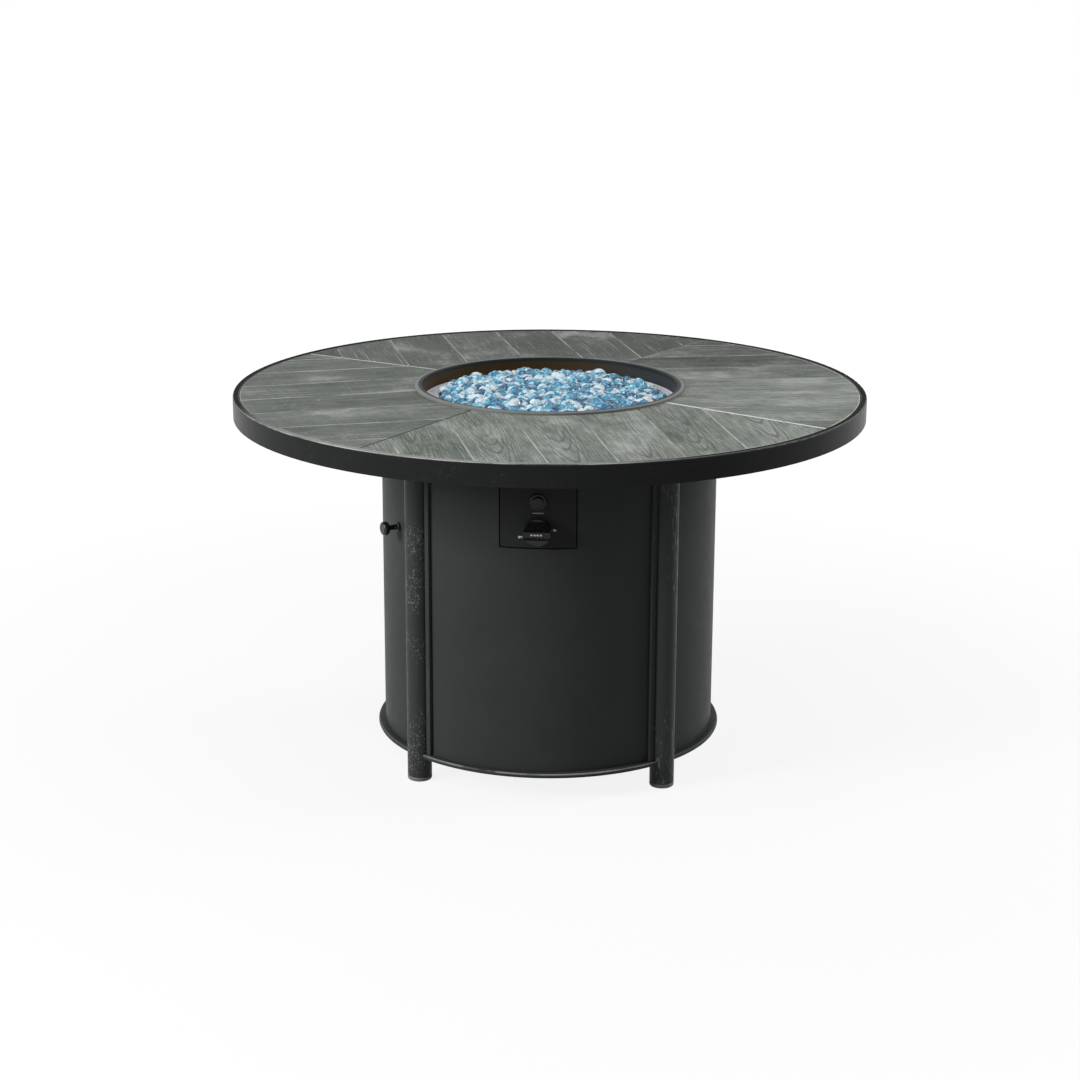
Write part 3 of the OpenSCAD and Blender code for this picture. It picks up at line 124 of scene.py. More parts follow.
class Graph:
    """Node graph of one material or world."""

    def __init__(self, tree: bpy.types.NodeTree) -> None:
        """Takes a node tree and empties it.

        Args:
            tree: The tree of a material or a world.
        """
        self.tree = tree
        self.tree.nodes.clear()

    def node(
        self, kind: str, settings: Optional[dict[str, Any]] = None,
        inputs: Optional[dict[Union[str, int], Any]] = None,
    ) -> bpy.types.Node:
        """Makes any node.

        Args:
            kind: The node's type.
            settings: Its properties, set first; stops gives a colour ramp's places and colours.
            inputs: Values or links of its sockets, by name or place.

        Returns:
            The new node.
        """
        made = self.tree.nodes.new(kind)
        for key, value in (settings or {}).items():
            if key == "stops":
                self._set_stops(made.color_ramp, value)
            else:
                setattr(made, key, value)
        for key, value in (inputs or {}).items():
            socket = made.inputs[key]
            if isinstance(value, Sock):
                self.tree.links.new(value.socket, socket)
            elif isinstance(value, tuple) and socket.type == "RGBA":
                socket.default_value = (*value, 1.0)
            else:
                socket.default_value = value
        return made

    @staticmethod
    def _set_stops(ramp: bpy.types.ColorRamp, stops: Sequence[tuple[float, Colour]]) -> None:
        """Puts a list of places and colours into a colour ramp.

        Args:
            ramp: The ramp.
            stops: Places from 0 to 1 and their colours.
        """
        while len(ramp.elements) < len(stops):
            ramp.elements.new(1.0)
        for element, (place, colour) in zip(ramp.elements, stops):
            element.position = place
            element.color = (*colour, 1.0)

    def out(self, node: bpy.types.Node, output: Union[str, int] = 0) -> Sock:
        """Wraps an output of a node."""
        return Sock(self, node.outputs[output])

    def math(self, operation: str, *values: Value) -> Sock:
        """Adds one Math node on the given values."""
        return self.out(self.node("ShaderNodeMath", {"operation": operation}, dict(enumerate(values))))

    def most(self, a: Value, b: Value) -> Sock:
        """Greater of two values."""
        return self.math("MAXIMUM", a, b)

    def smooth(self, value: Value, low: float, high: float) -> Sock:
        """Rises smoothly from 0 at low to 1 at high, which may be the lesser of the two."""
        inputs = {"Value": value, "From Min": low, "From Max": high}
        return self.out(self.node("ShaderNodeMapRange", {"interpolation_type": "SMOOTHSTEP"}, inputs))

    def place(self, turn_deg: float = 0.0) -> Place:
        """Object coordinates, turned about the upright axis.

        Args:
            turn_deg: Polar angle that becomes the first axis.

        Returns:
            The three coordinates, in metres.
        """
        coords = self.out(self.node("ShaderNodeTexCoord"), "Object")
        turned = self.node(
            "ShaderNodeMapping", None, {"Vector": coords, "Rotation": (0.0, 0.0, -math.radians(turn_deg))}
        )
        parts = self.node("ShaderNodeSeparateXYZ", None, {0: self.out(turned)})
        return self.out(parts, 0), self.out(parts, 1), self.out(parts, 2)

    def spot(self) -> tuple[Place, Sock]:
        """Object coordinates one by one, and joined into a vector."""
        place = self.place()
        return place, self.vector(*place)

    def length(self, x: Sock, y: Sock) -> Sock:
        """Length of a flat vector."""
        return self.math("SQRT", x * x + y * y)

    def vector(self, x: Value, y: Value, z: Value) -> Sock:
        """Joins three values into a vector."""
        return self.out(self.node("ShaderNodeCombineXYZ", None, {0: x, 1: y, 2: z}))

    def noise(self, vector: Sock, scale: float, detail: float = 2.0, roughness: float = 0.5) -> Sock:
        """Smooth noise of about 0 to 1: scale is features a metre, detail and roughness its finer layers."""
        inputs = {"Vector": vector, "Scale": scale, "Detail": detail, "Roughness": roughness}
        return self.out(self.node("ShaderNodeTexNoise", {"noise_dimensions": "3D"}, inputs), "Fac")

    def chance(self, seed: Value) -> Sock:
        """Random value of 0 to 1 that depends on a number."""
        return self.out(self.node("ShaderNodeTexWhiteNoise", {"noise_dimensions": "1D"}, {"W": seed}), "Value")

    def mix(self, factor: Value, a: Tint, b: Tint, blend: str = "MIX") -> Sock:
        """Mixes two colours: a factor of 0 gives a, and 1 gives b blended with it."""
        settings = {"data_type": "RGBA", "blend_type": blend}
        return self.out(self.node("ShaderNodeMix", settings, {0: factor, 6: a, 7: b}), 2)

    def grey(self, value: Value) -> Sock:
        """Turns a value into a grey colour."""
        return self.out(self.node("ShaderNodeCombineColor", None, {0: value, 1: value, 2: value}))

    def ramp(self, factor: Sock, stops: Sequence[tuple[float, Colour]]) -> Sock:
        """Colour ramp along a value."""
        return self.out(self.node("ShaderNodeValToRGB", {"stops": stops}, {0: factor}))

    def bump(self, height: Sock, distance: float, strength: float) -> Sock:
        """Normal of a surface raised by a height of 0 to 1 times a distance in metres, by a share of strength."""
        inputs = {"Strength": strength, "Distance": distance, "Height": height}
        return self.out(self.node("ShaderNodeBump", None, inputs))

    def surface(self, **inputs: Any) -> None:
        """Makes the Principled shader, with underscores for the spaces in its socket names, and the output."""
        shader = self.node("ShaderNodeBsdfPrincipled", None, {key.replace("_", " "): v for key, v in inputs.items()})
        self.node("ShaderNodeOutputMaterial", None, {"Surface": self.out(shader)})


# Finishes


@dataclass(frozen=True)
class Finish:
    """A named finish that becomes one material."""

    name: str

    def shade(self, graph: Graph) -> None:
        """Fills the graph; each finish has its own."""
        raise NotImplementedError

    def material(self) -> bpy.types.Material:
        """Makes the finish's material, or gives the one made before.

        Returns:
            The material.
        """
        made = bpy.data.materials.get(self.name)
        if made is None:
            made = bpy.data.materials.new(self.name)
            made.use_nodes = True
            self.shade(Graph(made.node_tree))
        return made


@dataclass(frozen=True)
class CharcoalCoat(Finish):
    """Satin powder coat: fine grain, cloudy tone and pale rubbed specks that run along the height."""

    colour: Colour = (0.0295, 0.0325, 0.0312)
    # Pale colour of the worn specks, and of the painted highlight on an edge coat.
    pale_colour: Colour = (0.30, 0.305, 0.30)
    rub: float = 0.10
    spread: float = 0.56
    streak: float = 1.0
    roughness: float = 0.46
    gloss: float = 0.04
    speck_scale: float = 400.0
    patch_scale: float = 24.0
    cloud_scale: float = 7.0
    smudge_scale: float = 45.0
    grain_scale: float = 1400.0
    grain_h: float = 0.00012

    def wear_and_highlight(self, graph: Graph, place: Place) -> Sock:
        """Share of worn coat: specks are fine noise past a threshold, kept inside broader patches.

        Args:
            graph: The graph to fill.
            place: The three coordinates.

        Returns:
            0 where the coat is whole, up to rub where it is worn.
        """
        x, y, z = place
        along = graph.vector(x, y, z * self.streak)
        specks = graph.smooth(graph.noise(along, self.speck_scale, 3.0, 0.7), 0.55, 0.68)
        patches = graph.noise(along, self.patch_scale, 3.0, 0.6)
        return specks * graph.smooth(patches, self.spread - 0.10, self.spread + 0.06) * self.rub

    def shade_and_matt(self, graph: Graph, place: Place) -> Value:
        """Share of painted shade by which a part of the coat is darker, and by which it is more matt; a plain coat has
        none.
        """
        return 0.0

    def shade(self, graph: Graph) -> None:
        """Cloudy noise varies the tone by 15 percent either way, painted shade darkens it where the coat has any, and
        the tone goes to the pale colour by the wear and by any painted highlight that the coat adds.

        Args:
            graph: The graph to fill.
        """
        place, spot = graph.spot()
        # A share of painted shade: it darkens the tone and makes the coat more matt.
        matt = self.shade_and_matt(graph, place)
        level = (0.85 + graph.noise(spot, self.cloud_scale, 4.0, 0.6) * 0.3) * (1.0 - matt)
        tone = graph.mix(1.0, self.colour, graph.grey(level), "MULTIPLY")
        wear_and_highlight = self.wear_and_highlight(graph, place)
        smudge = (graph.noise(spot, self.smudge_scale, 3.0) - 0.5) * 0.14
        graph.surface(
            Base_Color=graph.mix(wear_and_highlight, tone, self.pale_colour),
            Roughness=self.roughness + smudge + wear_and_highlight * 0.2 + matt * 0.6,
            Specular_IOR_Level=self.gloss,
            Normal=graph.bump(graph.noise(spot, self.grain_scale, 1.0), self.grain_h, 0.5),
        )


@dataclass(frozen=True)
class EdgeHighlightCoat(CharcoalCoat):
    """Charcoal coat of a ring with a painted highlight on its upper outer edge and flat top, most towards one side, and
    painted shade that darkens its flat top.
    """

    edge_r: float = 0.5
    top_z: float = 0.5
    flat_h: float = 0.0004
    edge_h: float = 0.0020
    # Strength and direction of the painted highlight on the edge and the top, and the share of painted shade on the
    # top.
    edge_highlight: float = 0.7
    highlight_deg: float = 270.0
    highlight_span: Span = (0.6, 0.95)
    highlight_least: float = 0.2
    top_highlight: float = 0.0
    top_shade: float = 0.0

    def shade_and_matt(self, graph: Graph, place: Place) -> Value:
        """Share of painted shade that darkens the flat top of the ring and makes it more matt."""
        return graph.smooth(place[2], self.top_z - self.flat_h, self.top_z - self.flat_h / 4) * self.top_shade

    def wear_and_highlight(self, graph: Graph, place: Place) -> Sock:
        """Greatest of the coat's own wear and a painted highlight: a band of height on the rounded edge, and the flat
        top.

        The place along the highlight's direction, over edge_r, says how much of the band and of the top shows, and
        noise breaks up the band.

        Args:
            graph: The graph to fill.
            place: The three coordinates.

        Returns:
            0 where the coat is whole and has no painted highlight, up to 1 on wear and on the highlight.
        """
        x, y, z = place
        angle = math.radians(self.highlight_deg)
        toward = x * (math.cos(angle) / self.edge_r) + y * (math.sin(angle) / self.edge_r)
        facing = graph.smooth(toward, *self.highlight_span)
        shown = self.highlight_least + facing * (1.0 - self.highlight_least)
        outer = graph.math("GREATER_THAN", graph.length(x, y), self.edge_r)
        down = self.top_z - z
        below = 1.0 - graph.smooth(down, self.edge_h * 0.5, self.edge_h)
        band = graph.smooth(down, self.flat_h / 4, self.flat_h) * below
        broken = graph.smooth(graph.noise(graph.vector(x, y, z), 7.0, 5.0, 0.7), 0.32, 0.56)
        # Painted highlight: a pale band on the rounded edge and a pale flat top, strongest on the side that the
        # highlight's direction faces.
        edge = outer * band * broken * shown * self.edge_highlight
        top = (1.0 - graph.smooth(down, self.flat_h * 0.5, self.flat_h * 1.5)) * facing * self.top_highlight
        return graph.most(super().wear_and_highlight(graph, place), graph.most(edge, top))


@dataclass(frozen=True)
class WeatheredPlanks(Finish):
    """Cast wood effect: planks of slightly different tone, fibres, arched growth lines, scuffs and pale grooves."""

    turn_deg: float = 0.0
    seed: float = 0.0
    low_seam: Seam = Seam.FAINT
    high_seam: Seam = Seam.FAINT
    # Painted light and shade: the quarter's own brightness, and how much darker it gets across the quarter.
    tone: float = 1.0
    shade_slope: float = 0.0
    lines: float = 0.6
    chalked: float = 0.6
    line_w: float = 0.0030
    contrast: float = 1.0
    # Painted highlight: share of a pale band along the outer edge.
    rim_highlight: float = 0.2
    edge_r: Span = (0.5191, 0.5205)
    seam_w: Span = (0.0014, 0.0034)
    # Where across the quarter the painted shade changes.
    shade_across: Span = (-0.10, 0.22)
    pitch: float = 0.105
    arch_across: float = 3600.0
    arch_along: float = 15.0
    relief_h: float = 0.0006
    dark: Colour = (0.056, 0.066, 0.056)
    middle: Colour = (0.146, 0.160, 0.145)
    pale: Colour = (0.285, 0.300, 0.282)
    chalk: Colour = (0.66, 0.68, 0.65)

    def shade(self, graph: Graph) -> None:
        """Fibres are noise stretched along the plank. Growth lines are contours of the square of the place across
        the plank plus the place along it, bent by slow noise. Grooves lie at whole multiples of the pitch, and
        seams where the place along equals the place across or its negative.

        Args:
            graph: The graph to fill.
        """
        u, v, _ = graph.place(self.turn_deg)
        step = v / self.pitch
        plank = graph.math("FLOOR", step)
        luck = graph.chance(plank + self.seed)
        shift = luck * 7.0 + self.seed
        broad = graph.noise(graph.vector(u * 2.6 + shift, v * 46.0, shift), 1.0, 4.0, 0.62)
        fine = graph.noise(graph.vector(u * 14.0 + shift, v * 380.0, shift), 1.0, 3.0, 0.7)
        streak = graph.noise(graph.vector(u * 14.0 + shift, v * 220.0, shift), 1.0, 3.0, 0.65)
        cloud = graph.noise(graph.vector(u + shift, v * 1.6, shift), 6.0, 6.0, 0.68)
        saw = graph.noise(graph.vector(u * 300.0 + v * 60.0, v * 12.0, shift), 1.0, 2.0)
        vary = (broad - 0.5) * 0.25 + (streak - 0.5) * 0.50 + (fine - 0.5) * 0.85 + (cloud - 0.5) * 0.85
        tone = 0.5 + (vary + (luck - 0.5) * 0.16) * self.contrast
        cut = tone + (saw - 0.5) * 0.22
        plain = graph.ramp(cut, [(0.20, self.dark), (0.50, self.middle), (0.82, self.pale)])
        # Painted light and shade: the quarter's brightness, darker across it by the slope.
        light = self.tone - graph.smooth(v, *self.shade_across) * self.shade_slope
        wood = graph.mix(1.0, plain, graph.grey(light), "MULTIPLY")
        growth = self._growth(graph, (u, v - (plank + 0.25 + luck * 0.5) * self.pitch, shift))
        ringed = graph.mix(growth * self.lines, wood, self.dark)
        rubbed = graph.mix(self._rubs(graph, (u, v, shift), cloud), ringed, self.pale)
        from_line = abs(step - graph.math("ROUND", step)) * self.pitch
        in_groove = 1.0 - graph.smooth(from_line, self.line_w * 0.30, self.line_w * 0.60)
        dust = graph.noise(graph.vector(u * 9.0, plank * 3.1, self.seed), 1.0, 5.0, 0.7)
        dusty = graph.smooth(dust, 0.34, 0.60)
        coloured = graph.mix(in_groove * (0.2 + dusty * 0.8) * self.chalked, rubbed, self.chalk)
        for across, look in ((u + v, self.low_seam), (u - v, self.high_seam)):
            near = 1.0 - graph.smooth(across * HALF_ROOT, *self.seam_w)
            coloured = graph.mix(near * abs(look.value), coloured, self.chalk if look.value > 0 else self.dark)
        # Painted highlight along the outer edge, broken up by the dust noise.
        rim_highlight_mask = graph.smooth(graph.length(u, v), *self.edge_r) * dusty
        graph.surface(
            Base_Color=graph.mix(rim_highlight_mask * self.rim_highlight, coloured, self.chalk),
            Roughness=0.64 + (fine - 0.5) * 0.24,
            Specular_IOR_Level=0.06,
            Normal=graph.bump(tone * 0.7 - growth * 0.25 - in_groove * 0.3, self.relief_h, 0.5),
        )

    def _rubs(self, graph: Graph, place: Place, cloud: Sock) -> Sock:
        """Share of pale wear: chalky patches where the cloud is high, thin scratches and short flecks along the plank.

        Args:
            graph: The graph to fill.
            place: Place along the plank, place across the planks, and the plank's own offset in the noise.
            cloud: Broad noise of the plank's tone.

        Returns:
            0 where the wood effect is whole, up to 1 where it is rubbed.
        """
        u, v, shift = place
        patches = graph.smooth(cloud, 0.53, 0.72)
        scratches = graph.smooth(graph.noise(graph.vector(u * 5.0 + shift, v * 300.0, shift), 1.0, 2.0), 0.63, 0.70)
        flecks = graph.smooth(graph.noise(graph.vector(u * 95.0, v * 210.0, shift), 1.0, 2.0, 0.6), 0.64, 0.72)
        return graph.math("MINIMUM", patches * 0.55 + scratches * 0.40 + flecks * 0.60, 1.0)

    def _growth(self, graph: Graph, place: Place) -> Sock:
        """Thin lines, 1 on a line and 0 between, that show in some stretches of a plank only.

        Args:
            graph: The graph to fill.
            place: Place along the plank, place across it from the middle of its arches, and its offset in the noise.

        Returns:
            The lines.
        """
        u, across, shift = place
        bend = graph.noise(graph.vector(u * 3.4 + shift, across * 7.0, shift), 1.0, 1.0)
        rings = across * across * self.arch_across + u * self.arch_along + bend * 3.0
        line = graph.smooth(graph.math("PINGPONG", rings, 0.5) * 2.0, 0.62, 0.94)
        part = graph.noise(graph.vector(u * 4.0 + shift, across * 7.0, shift + 5.0), 1.0, 2.0)
        return line * graph.smooth(part, 0.38, 0.56)


@dataclass(frozen=True)
class BowlEnamel(Finish):
    """Dark heat-proof coat of the collar: pale outside, bluish on the lip and down the wall, with the warm light of
    flames painted on one side of the wall.
    """

    lip: Colour = (0.012, 0.015, 0.016)
    wall: Colour = (0.022, 0.026, 0.030)
    # Warm brown of the painted flame light on the wall.
    flame_lit: Colour = (0.034, 0.021, 0.009)
    edge: Colour = (0.20, 0.205, 0.195)
    lip_z: Span = (0.6328, 0.6368)
    # Where across the bowl the painted flame light fades out.
    flame_lit_x: Span = (0.18, 0.02)
    pale_r: Span = (0.2216, 0.2228)
    grain_h: float = 0.0001

    def shade(self, graph: Graph) -> None:
        """Height parts the lip from the wall, which carries painted flame light most at one side; the distance from the
        axis gives the pale outer half of the lip.

        Args:
            graph: The graph to fill.
        """
        (x, y, z), spot = graph.spot()
        cloud = graph.noise(spot, 22.0, 4.0, 0.6)
        # Painted flame light: the wall turns warm brown towards one side.
        flame_light = graph.mix(graph.smooth(x + (cloud - 0.5) * 0.1, *self.flame_lit_x), self.wall, self.flame_lit)
        tone = graph.mix(graph.smooth(z, *self.lip_z), flame_light, self.lip)
        outer = graph.smooth(graph.length(x, y), *self.pale_r)
        graph.surface(
            Base_Color=graph.mix(outer * (0.4 + cloud * 0.4), tone, self.edge),
            Roughness=0.38 + cloud * 0.2,
            Specular_IOR_Level=0.06,
            Normal=graph.bump(graph.noise(spot, 900.0, 1.0), self.grain_h, 0.4),
        )


@dataclass(frozen=True)
class SheetSteel(Finish):
    """Plain metal with fine rolling lines, soft smudges and an optional tint of heat."""

    colour: Colour = (0.60, 0.61, 0.62)
    roughness: float = 0.34
    stain: Colour = (0.40, 0.38, 0.34)
    stain_share: float = 0.3
    metal: float = 1.0
    line_h: float = 0.00005

    def shade(self, graph: Graph) -> None:
        """Lines are noise stretched along one axis; smudges are broad noise.

        Args:
            graph: The graph to fill.
        """
        (x, y, z), spot = graph.spot()
        lines = graph.noise(graph.vector(x * 12.0, y * 700.0, z * 700.0), 1.0, 2.0)
        smudge = graph.noise(spot, 14.0, 4.0, 0.6)
        graph.surface(
            Base_Color=graph.mix(graph.smooth(smudge, 0.4, 0.75) * self.stain_share, self.colour, self.stain),
            Metallic=self.metal,
            Roughness=self.roughness + (lines - 0.5) * 0.16 + (smudge - 0.5) * 0.12,
            Normal=graph.bump(lines, self.line_h, 0.35),
        )


@dataclass(frozen=True)
class MouldedPlastic(Finish):
    """Moulded plastic or rubber with a faint texture and handling marks."""

    colour: Colour = (0.010, 0.010, 0.011)
    roughness: float = 0.24
    gloss: float = 0.5
    dust: float = 0.15
    dust_colour: Colour = (0.10, 0.10, 0.10)
    grain_h: float = 0.00006

    def shade(self, graph: Graph) -> None:
        """Broad noise lightens the colour a little and roughens it.

        Args:
            graph: The graph to fill.
        """
        _, spot = graph.spot()
        marks = graph.noise(spot, 120.0, 4.0, 0.6)
        graph.surface(
            Base_Color=graph.mix(graph.smooth(marks, 0.5, 0.8) * self.dust, self.colour, self.dust_colour),
            Roughness=self.roughness + (marks - 0.5) * 0.16,
            Specular_IOR_Level=self.gloss,
            Normal=graph.bump(graph.noise(spot, 1800.0, 1.0), self.grain_h, 0.35),
        )


@dataclass(frozen=True)
class FootRubber(Finish):
    """Foot cap whose rounded bottom edge is scuffed pale."""

    colour: Colour = (0.014, 0.0145, 0.0145)
    pale_colour: Colour = (0.24, 0.24, 0.23)
    worn_share: float = 0.7
    edge_z: Span = (0.0010, 0.0042)
    ragged: float = 0.004
    grain_h: float = 0.0002

    def shade(self, graph: Graph) -> None:
        """Wear follows the height above the floor, broken up by noise.

        Args:
            graph: The graph to fill.
        """
        (_, _, z), spot = graph.spot()
        broken = graph.noise(spot, 160.0, 3.0, 0.6)
        low = 1.0 - graph.smooth(z + (broken - 0.5) * self.ragged, *self.edge_z)
        graph.surface(
            Base_Color=graph.mix(low * self.worn_share, self.colour, self.pale_colour),
            Roughness=0.55 + (broken - 0.5) * 0.2,
            Specular_IOR_Level=0.1,
            Normal=graph.bump(broken, self.grain_h, 0.4),
        )


@dataclass(frozen=True)
class TumbledGlass(Finish):
    """Fire glass whose hue follows the tint stored on each bead."""

    stops: tuple[tuple[float, Colour], ...] = (
        (0.00, (0.003, 0.032, 0.078)),
        (0.22, (0.006, 0.120, 0.260)),
        (0.46, (0.010, 0.265, 0.480)),
        (0.66, (0.050, 0.490, 0.680)),
        (0.84, (0.420, 0.690, 0.800)),
        (1.00, (0.880, 0.900, 0.920)),
    )
    clear: float = 0.5
    coat: float = 0.15
    roughness: float = 0.0
    ior: float = 1.45
    # Painted caustics: noise bands that lift the tint inside the beads, and a drop that lowers it everywhere.
    caustic_scale: float = 170.0
    caustic_drop: float = 0.06
    caustic_lift: float = 0.40

    def shade(self, graph: Graph) -> None:
        """Hue is a ramp along the bead's tint, with paler bands inside the glass that are painted caustics.

        Args:
            graph: The graph to fill.
        """
        _, spot = graph.spot()
        tint = graph.out(graph.node("ShaderNodeAttribute", {"attribute_name": "tint"}), "Fac")
        # Painted caustics: pale bands inside the glass.
        caustics = graph.smooth(graph.noise(spot, self.caustic_scale, 1.5), 0.48, 0.64)
        graph.surface(
            Base_Color=graph.ramp(tint - self.caustic_drop + caustics * self.caustic_lift, self.stops),
            Roughness=self.roughness + caustics * 0.05,
            IOR=self.ior,
            Transmission_Weight=self.clear,
            Coat_Weight=self.coat,
        )


@dataclass(frozen=True)
class PrintedInk(Finish):
    """Pale print that is slightly broken up."""

    colour: Colour = (0.62, 0.63, 0.62)
    thin: Colour = (0.30, 0.31, 0.30)

    def shade(self, graph: Graph) -> None:
        """Fine noise thins the ink here and there.

        Args:
            graph: The graph to fill.
        """
        _, spot = graph.spot()
        broken = graph.noise(spot, 1500.0, 2.0)
        graph.surface(Base_Color=graph.mix(broken * 0.4, self.colour, self.thin), Roughness=0.5 + broken * 0.2)


# Meshes


def fill_mesh(name: str, points: Array, faces: Array, smooth: bool = False) -> bpy.types.Mesh:
    """Puts arrays into a new mesh.

    Args:
        name: Name of the mesh.
        points: Vertex places, one row each.
        faces: Four vertex numbers for each face; the last is -1 on a triangle.
        smooth: Whether the faces are shaded as one round surface.

    Returns:
        The new mesh.
    """
    mesh = bpy.data.meshes.new(name)
    used = faces >= 0
    counts = used.sum(1)
    mesh.vertices.add(len(points))
    mesh.vertices.foreach_set("co", points.astype(np.float32).ravel())
    mesh.loops.add(int(counts.sum()))
    mesh.loops.foreach_set("vertex_index", faces[used].astype(np.int32))
    mesh.polygons.add(len(faces))
    mesh.polygons.foreach_set("loop_start", (np.cumsum(counts) - counts).astype(np.int32))
    mesh.polygons.foreach_set("use_smooth", np.full(len(faces), smooth))
    mesh.update(calc_edges=True)
    return mesh


def mesh_piece(mesh: bpy.types.Mesh, finish: Finish, body: Body) -> bpy.types.Object:
    """Makes a piece from a mesh and lets it ride on a body.

    Args:
        mesh: Its mesh, whose name it takes.
        finish: Its finish.
        body: Body that it rides on.

    Returns:
        The new object.
    """
    mesh.materials.append(finish.material())
    made = bpy.data.objects.new(mesh.name, mesh)
    bpy.context.scene.collection.objects.link(made)
    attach(made, body.value)
    LOG.info("%s: %d faces, rides on %s", mesh.name, len(mesh.polygons), body.value)
    return made


def grid_faces(rows: int, columns: int) -> Array:
    """Quads of rows of points, whose last column joins the first; rows that go outwards face up.

    Args:
        rows: Number of rows.
        columns: Number of points in a row.

    Returns:
        Four vertex numbers for each quad.
    """
    i, j = np.meshgrid(np.arange(rows - 1), np.arange(columns), indexing="ij")
    k = (j + 1) % columns
    return np.stack([(i + 1) * columns + j, (i + 1) * columns + k, i * columns + k, i * columns + j], -1).reshape(-1, 4)


def revolve(profile: Array, sides: int) -> tuple[Array, Array]:
    """Turns a profile about the upright axis: (r cos t, r sin t, z), with t in even steps.

    Args:
        profile: Rows of r and z that start on the axis and go outwards and down; they may end on the axis.
        sides: Number of steps.

    Returns:
        Points and faces, with a closed pole wherever the profile meets the axis.
    """
    closed = profile[-1, 0] == 0.0
    rings = profile[1 : -1 if closed else None]
    r, t = np.meshgrid(rings[:, 0], 2 * np.pi * np.arange(sides) / sides, indexing="ij")
    belt = np.stack([r * np.cos(t), r * np.sin(t), np.broadcast_to(rings[:, 1:], r.shape)], -1).reshape(-1, 3)
    j = np.arange(sides)
    k = (j + 1) % sides
    blank = np.full(sides, -1)
    points = [belt, [[0.0, 0.0, profile[0, 1]]]]
    faces = [grid_faces(len(rings), sides), np.stack([np.full(sides, len(belt)), j, k, blank], -1)]
    if closed:
        low = len(belt) - sides
        points.append([[0.0, 0.0, profile[-1, 1]]])
        faces.append(np.stack([np.full(sides, len(belt) + 1), low + k, low + j, blank], -1))
    return np.vstack(points), np.vstack(faces)


def dress(finish: Finish, nodes: Iterable[str]) -> None:
    """Gives one finish to CAD nodes.

    Args:
        finish: The finish.
        nodes: Names of the nodes.
    """
    made = finish.material()
    for name in nodes:
        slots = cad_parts[name].data.materials
        slots.clear()
        slots.append(made)
        LOG.info("%s: %s", name, finish.name)


# Sub-assemblies


@dataclass
class TableTop:
    """Rim band, four plank panels and the frame under them."""

    edge_r: float = 0.527
    rim_top: float = 0.632
    sides: tuple[str, ...] = ("right", "back", "left", "front")
    # Each quarter's tone, and its darkening across, are painted light and shade; the paler band at the outer edge,
    # strongest on the right and front quarters, is a painted highlight.
    planks: tuple[WeatheredPlanks, ...] = (
        WeatheredPlanks(
            "planks_right", 15.0, 3.7, Seam.BRIGHT, Seam.FAINT,
            tone=0.87, shade_slope=0.50, lines=0.25, chalked=0.42, line_w=0.0050, contrast=1.30, rim_highlight=0.6,
        ),
        WeatheredPlanks(
            "planks_back", 105.0, 15.0, Seam.FAINT, Seam.SOFT,
            tone=0.41, shade_slope=-0.08, lines=0.25, chalked=0.50, line_w=0.0034, contrast=0.8,
        ),
        WeatheredPlanks(
            "planks_left", 195.0, 26.3, Seam.SOFT, Seam.DARK,
            tone=0.63, lines=0.15, chalked=0.50, line_w=0.0046, contrast=0.85,
        ),
        WeatheredPlanks(
            "planks_front", 285.0, 37.6, Seam.DARK, Seam.BRIGHT,
            tone=1.02, lines=0.75, chalked=0.70, line_w=0.0028, contrast=1.15, rim_highlight=0.3,
        ),
    )

    def dress(self) -> None:
        """Gives each quarter planks that run outwards, toned by painted light and shade of their own, the rim a coat
        with a painted highlight and painted shade, and the frame its coat.
        """
        for side, planks in zip(self.sides, self.planks):
            dress(planks, [f"top_panel_{side}"])
        # The rim's pale front edge and front top are a painted highlight, and its darker flat top is painted shade.
        rim = EdgeHighlightCoat(
            "rim_coat", (0.0117, 0.0128, 0.0123), (0.5, 0.5, 0.5), rub=0.04, roughness=0.32, gloss=0.05,
            edge_r=self.edge_r, top_z=self.rim_top, edge_h=0.0016,
            highlight_deg=250.0, top_highlight=0.36, top_shade=0.7,
        )
        dress(rim, ["top_rim"])
        dress(CharcoalCoat("frame_coat", rub=0.05), ["rim_ledge", "frame_inner_ring", "frame_arms", "top_ring"])


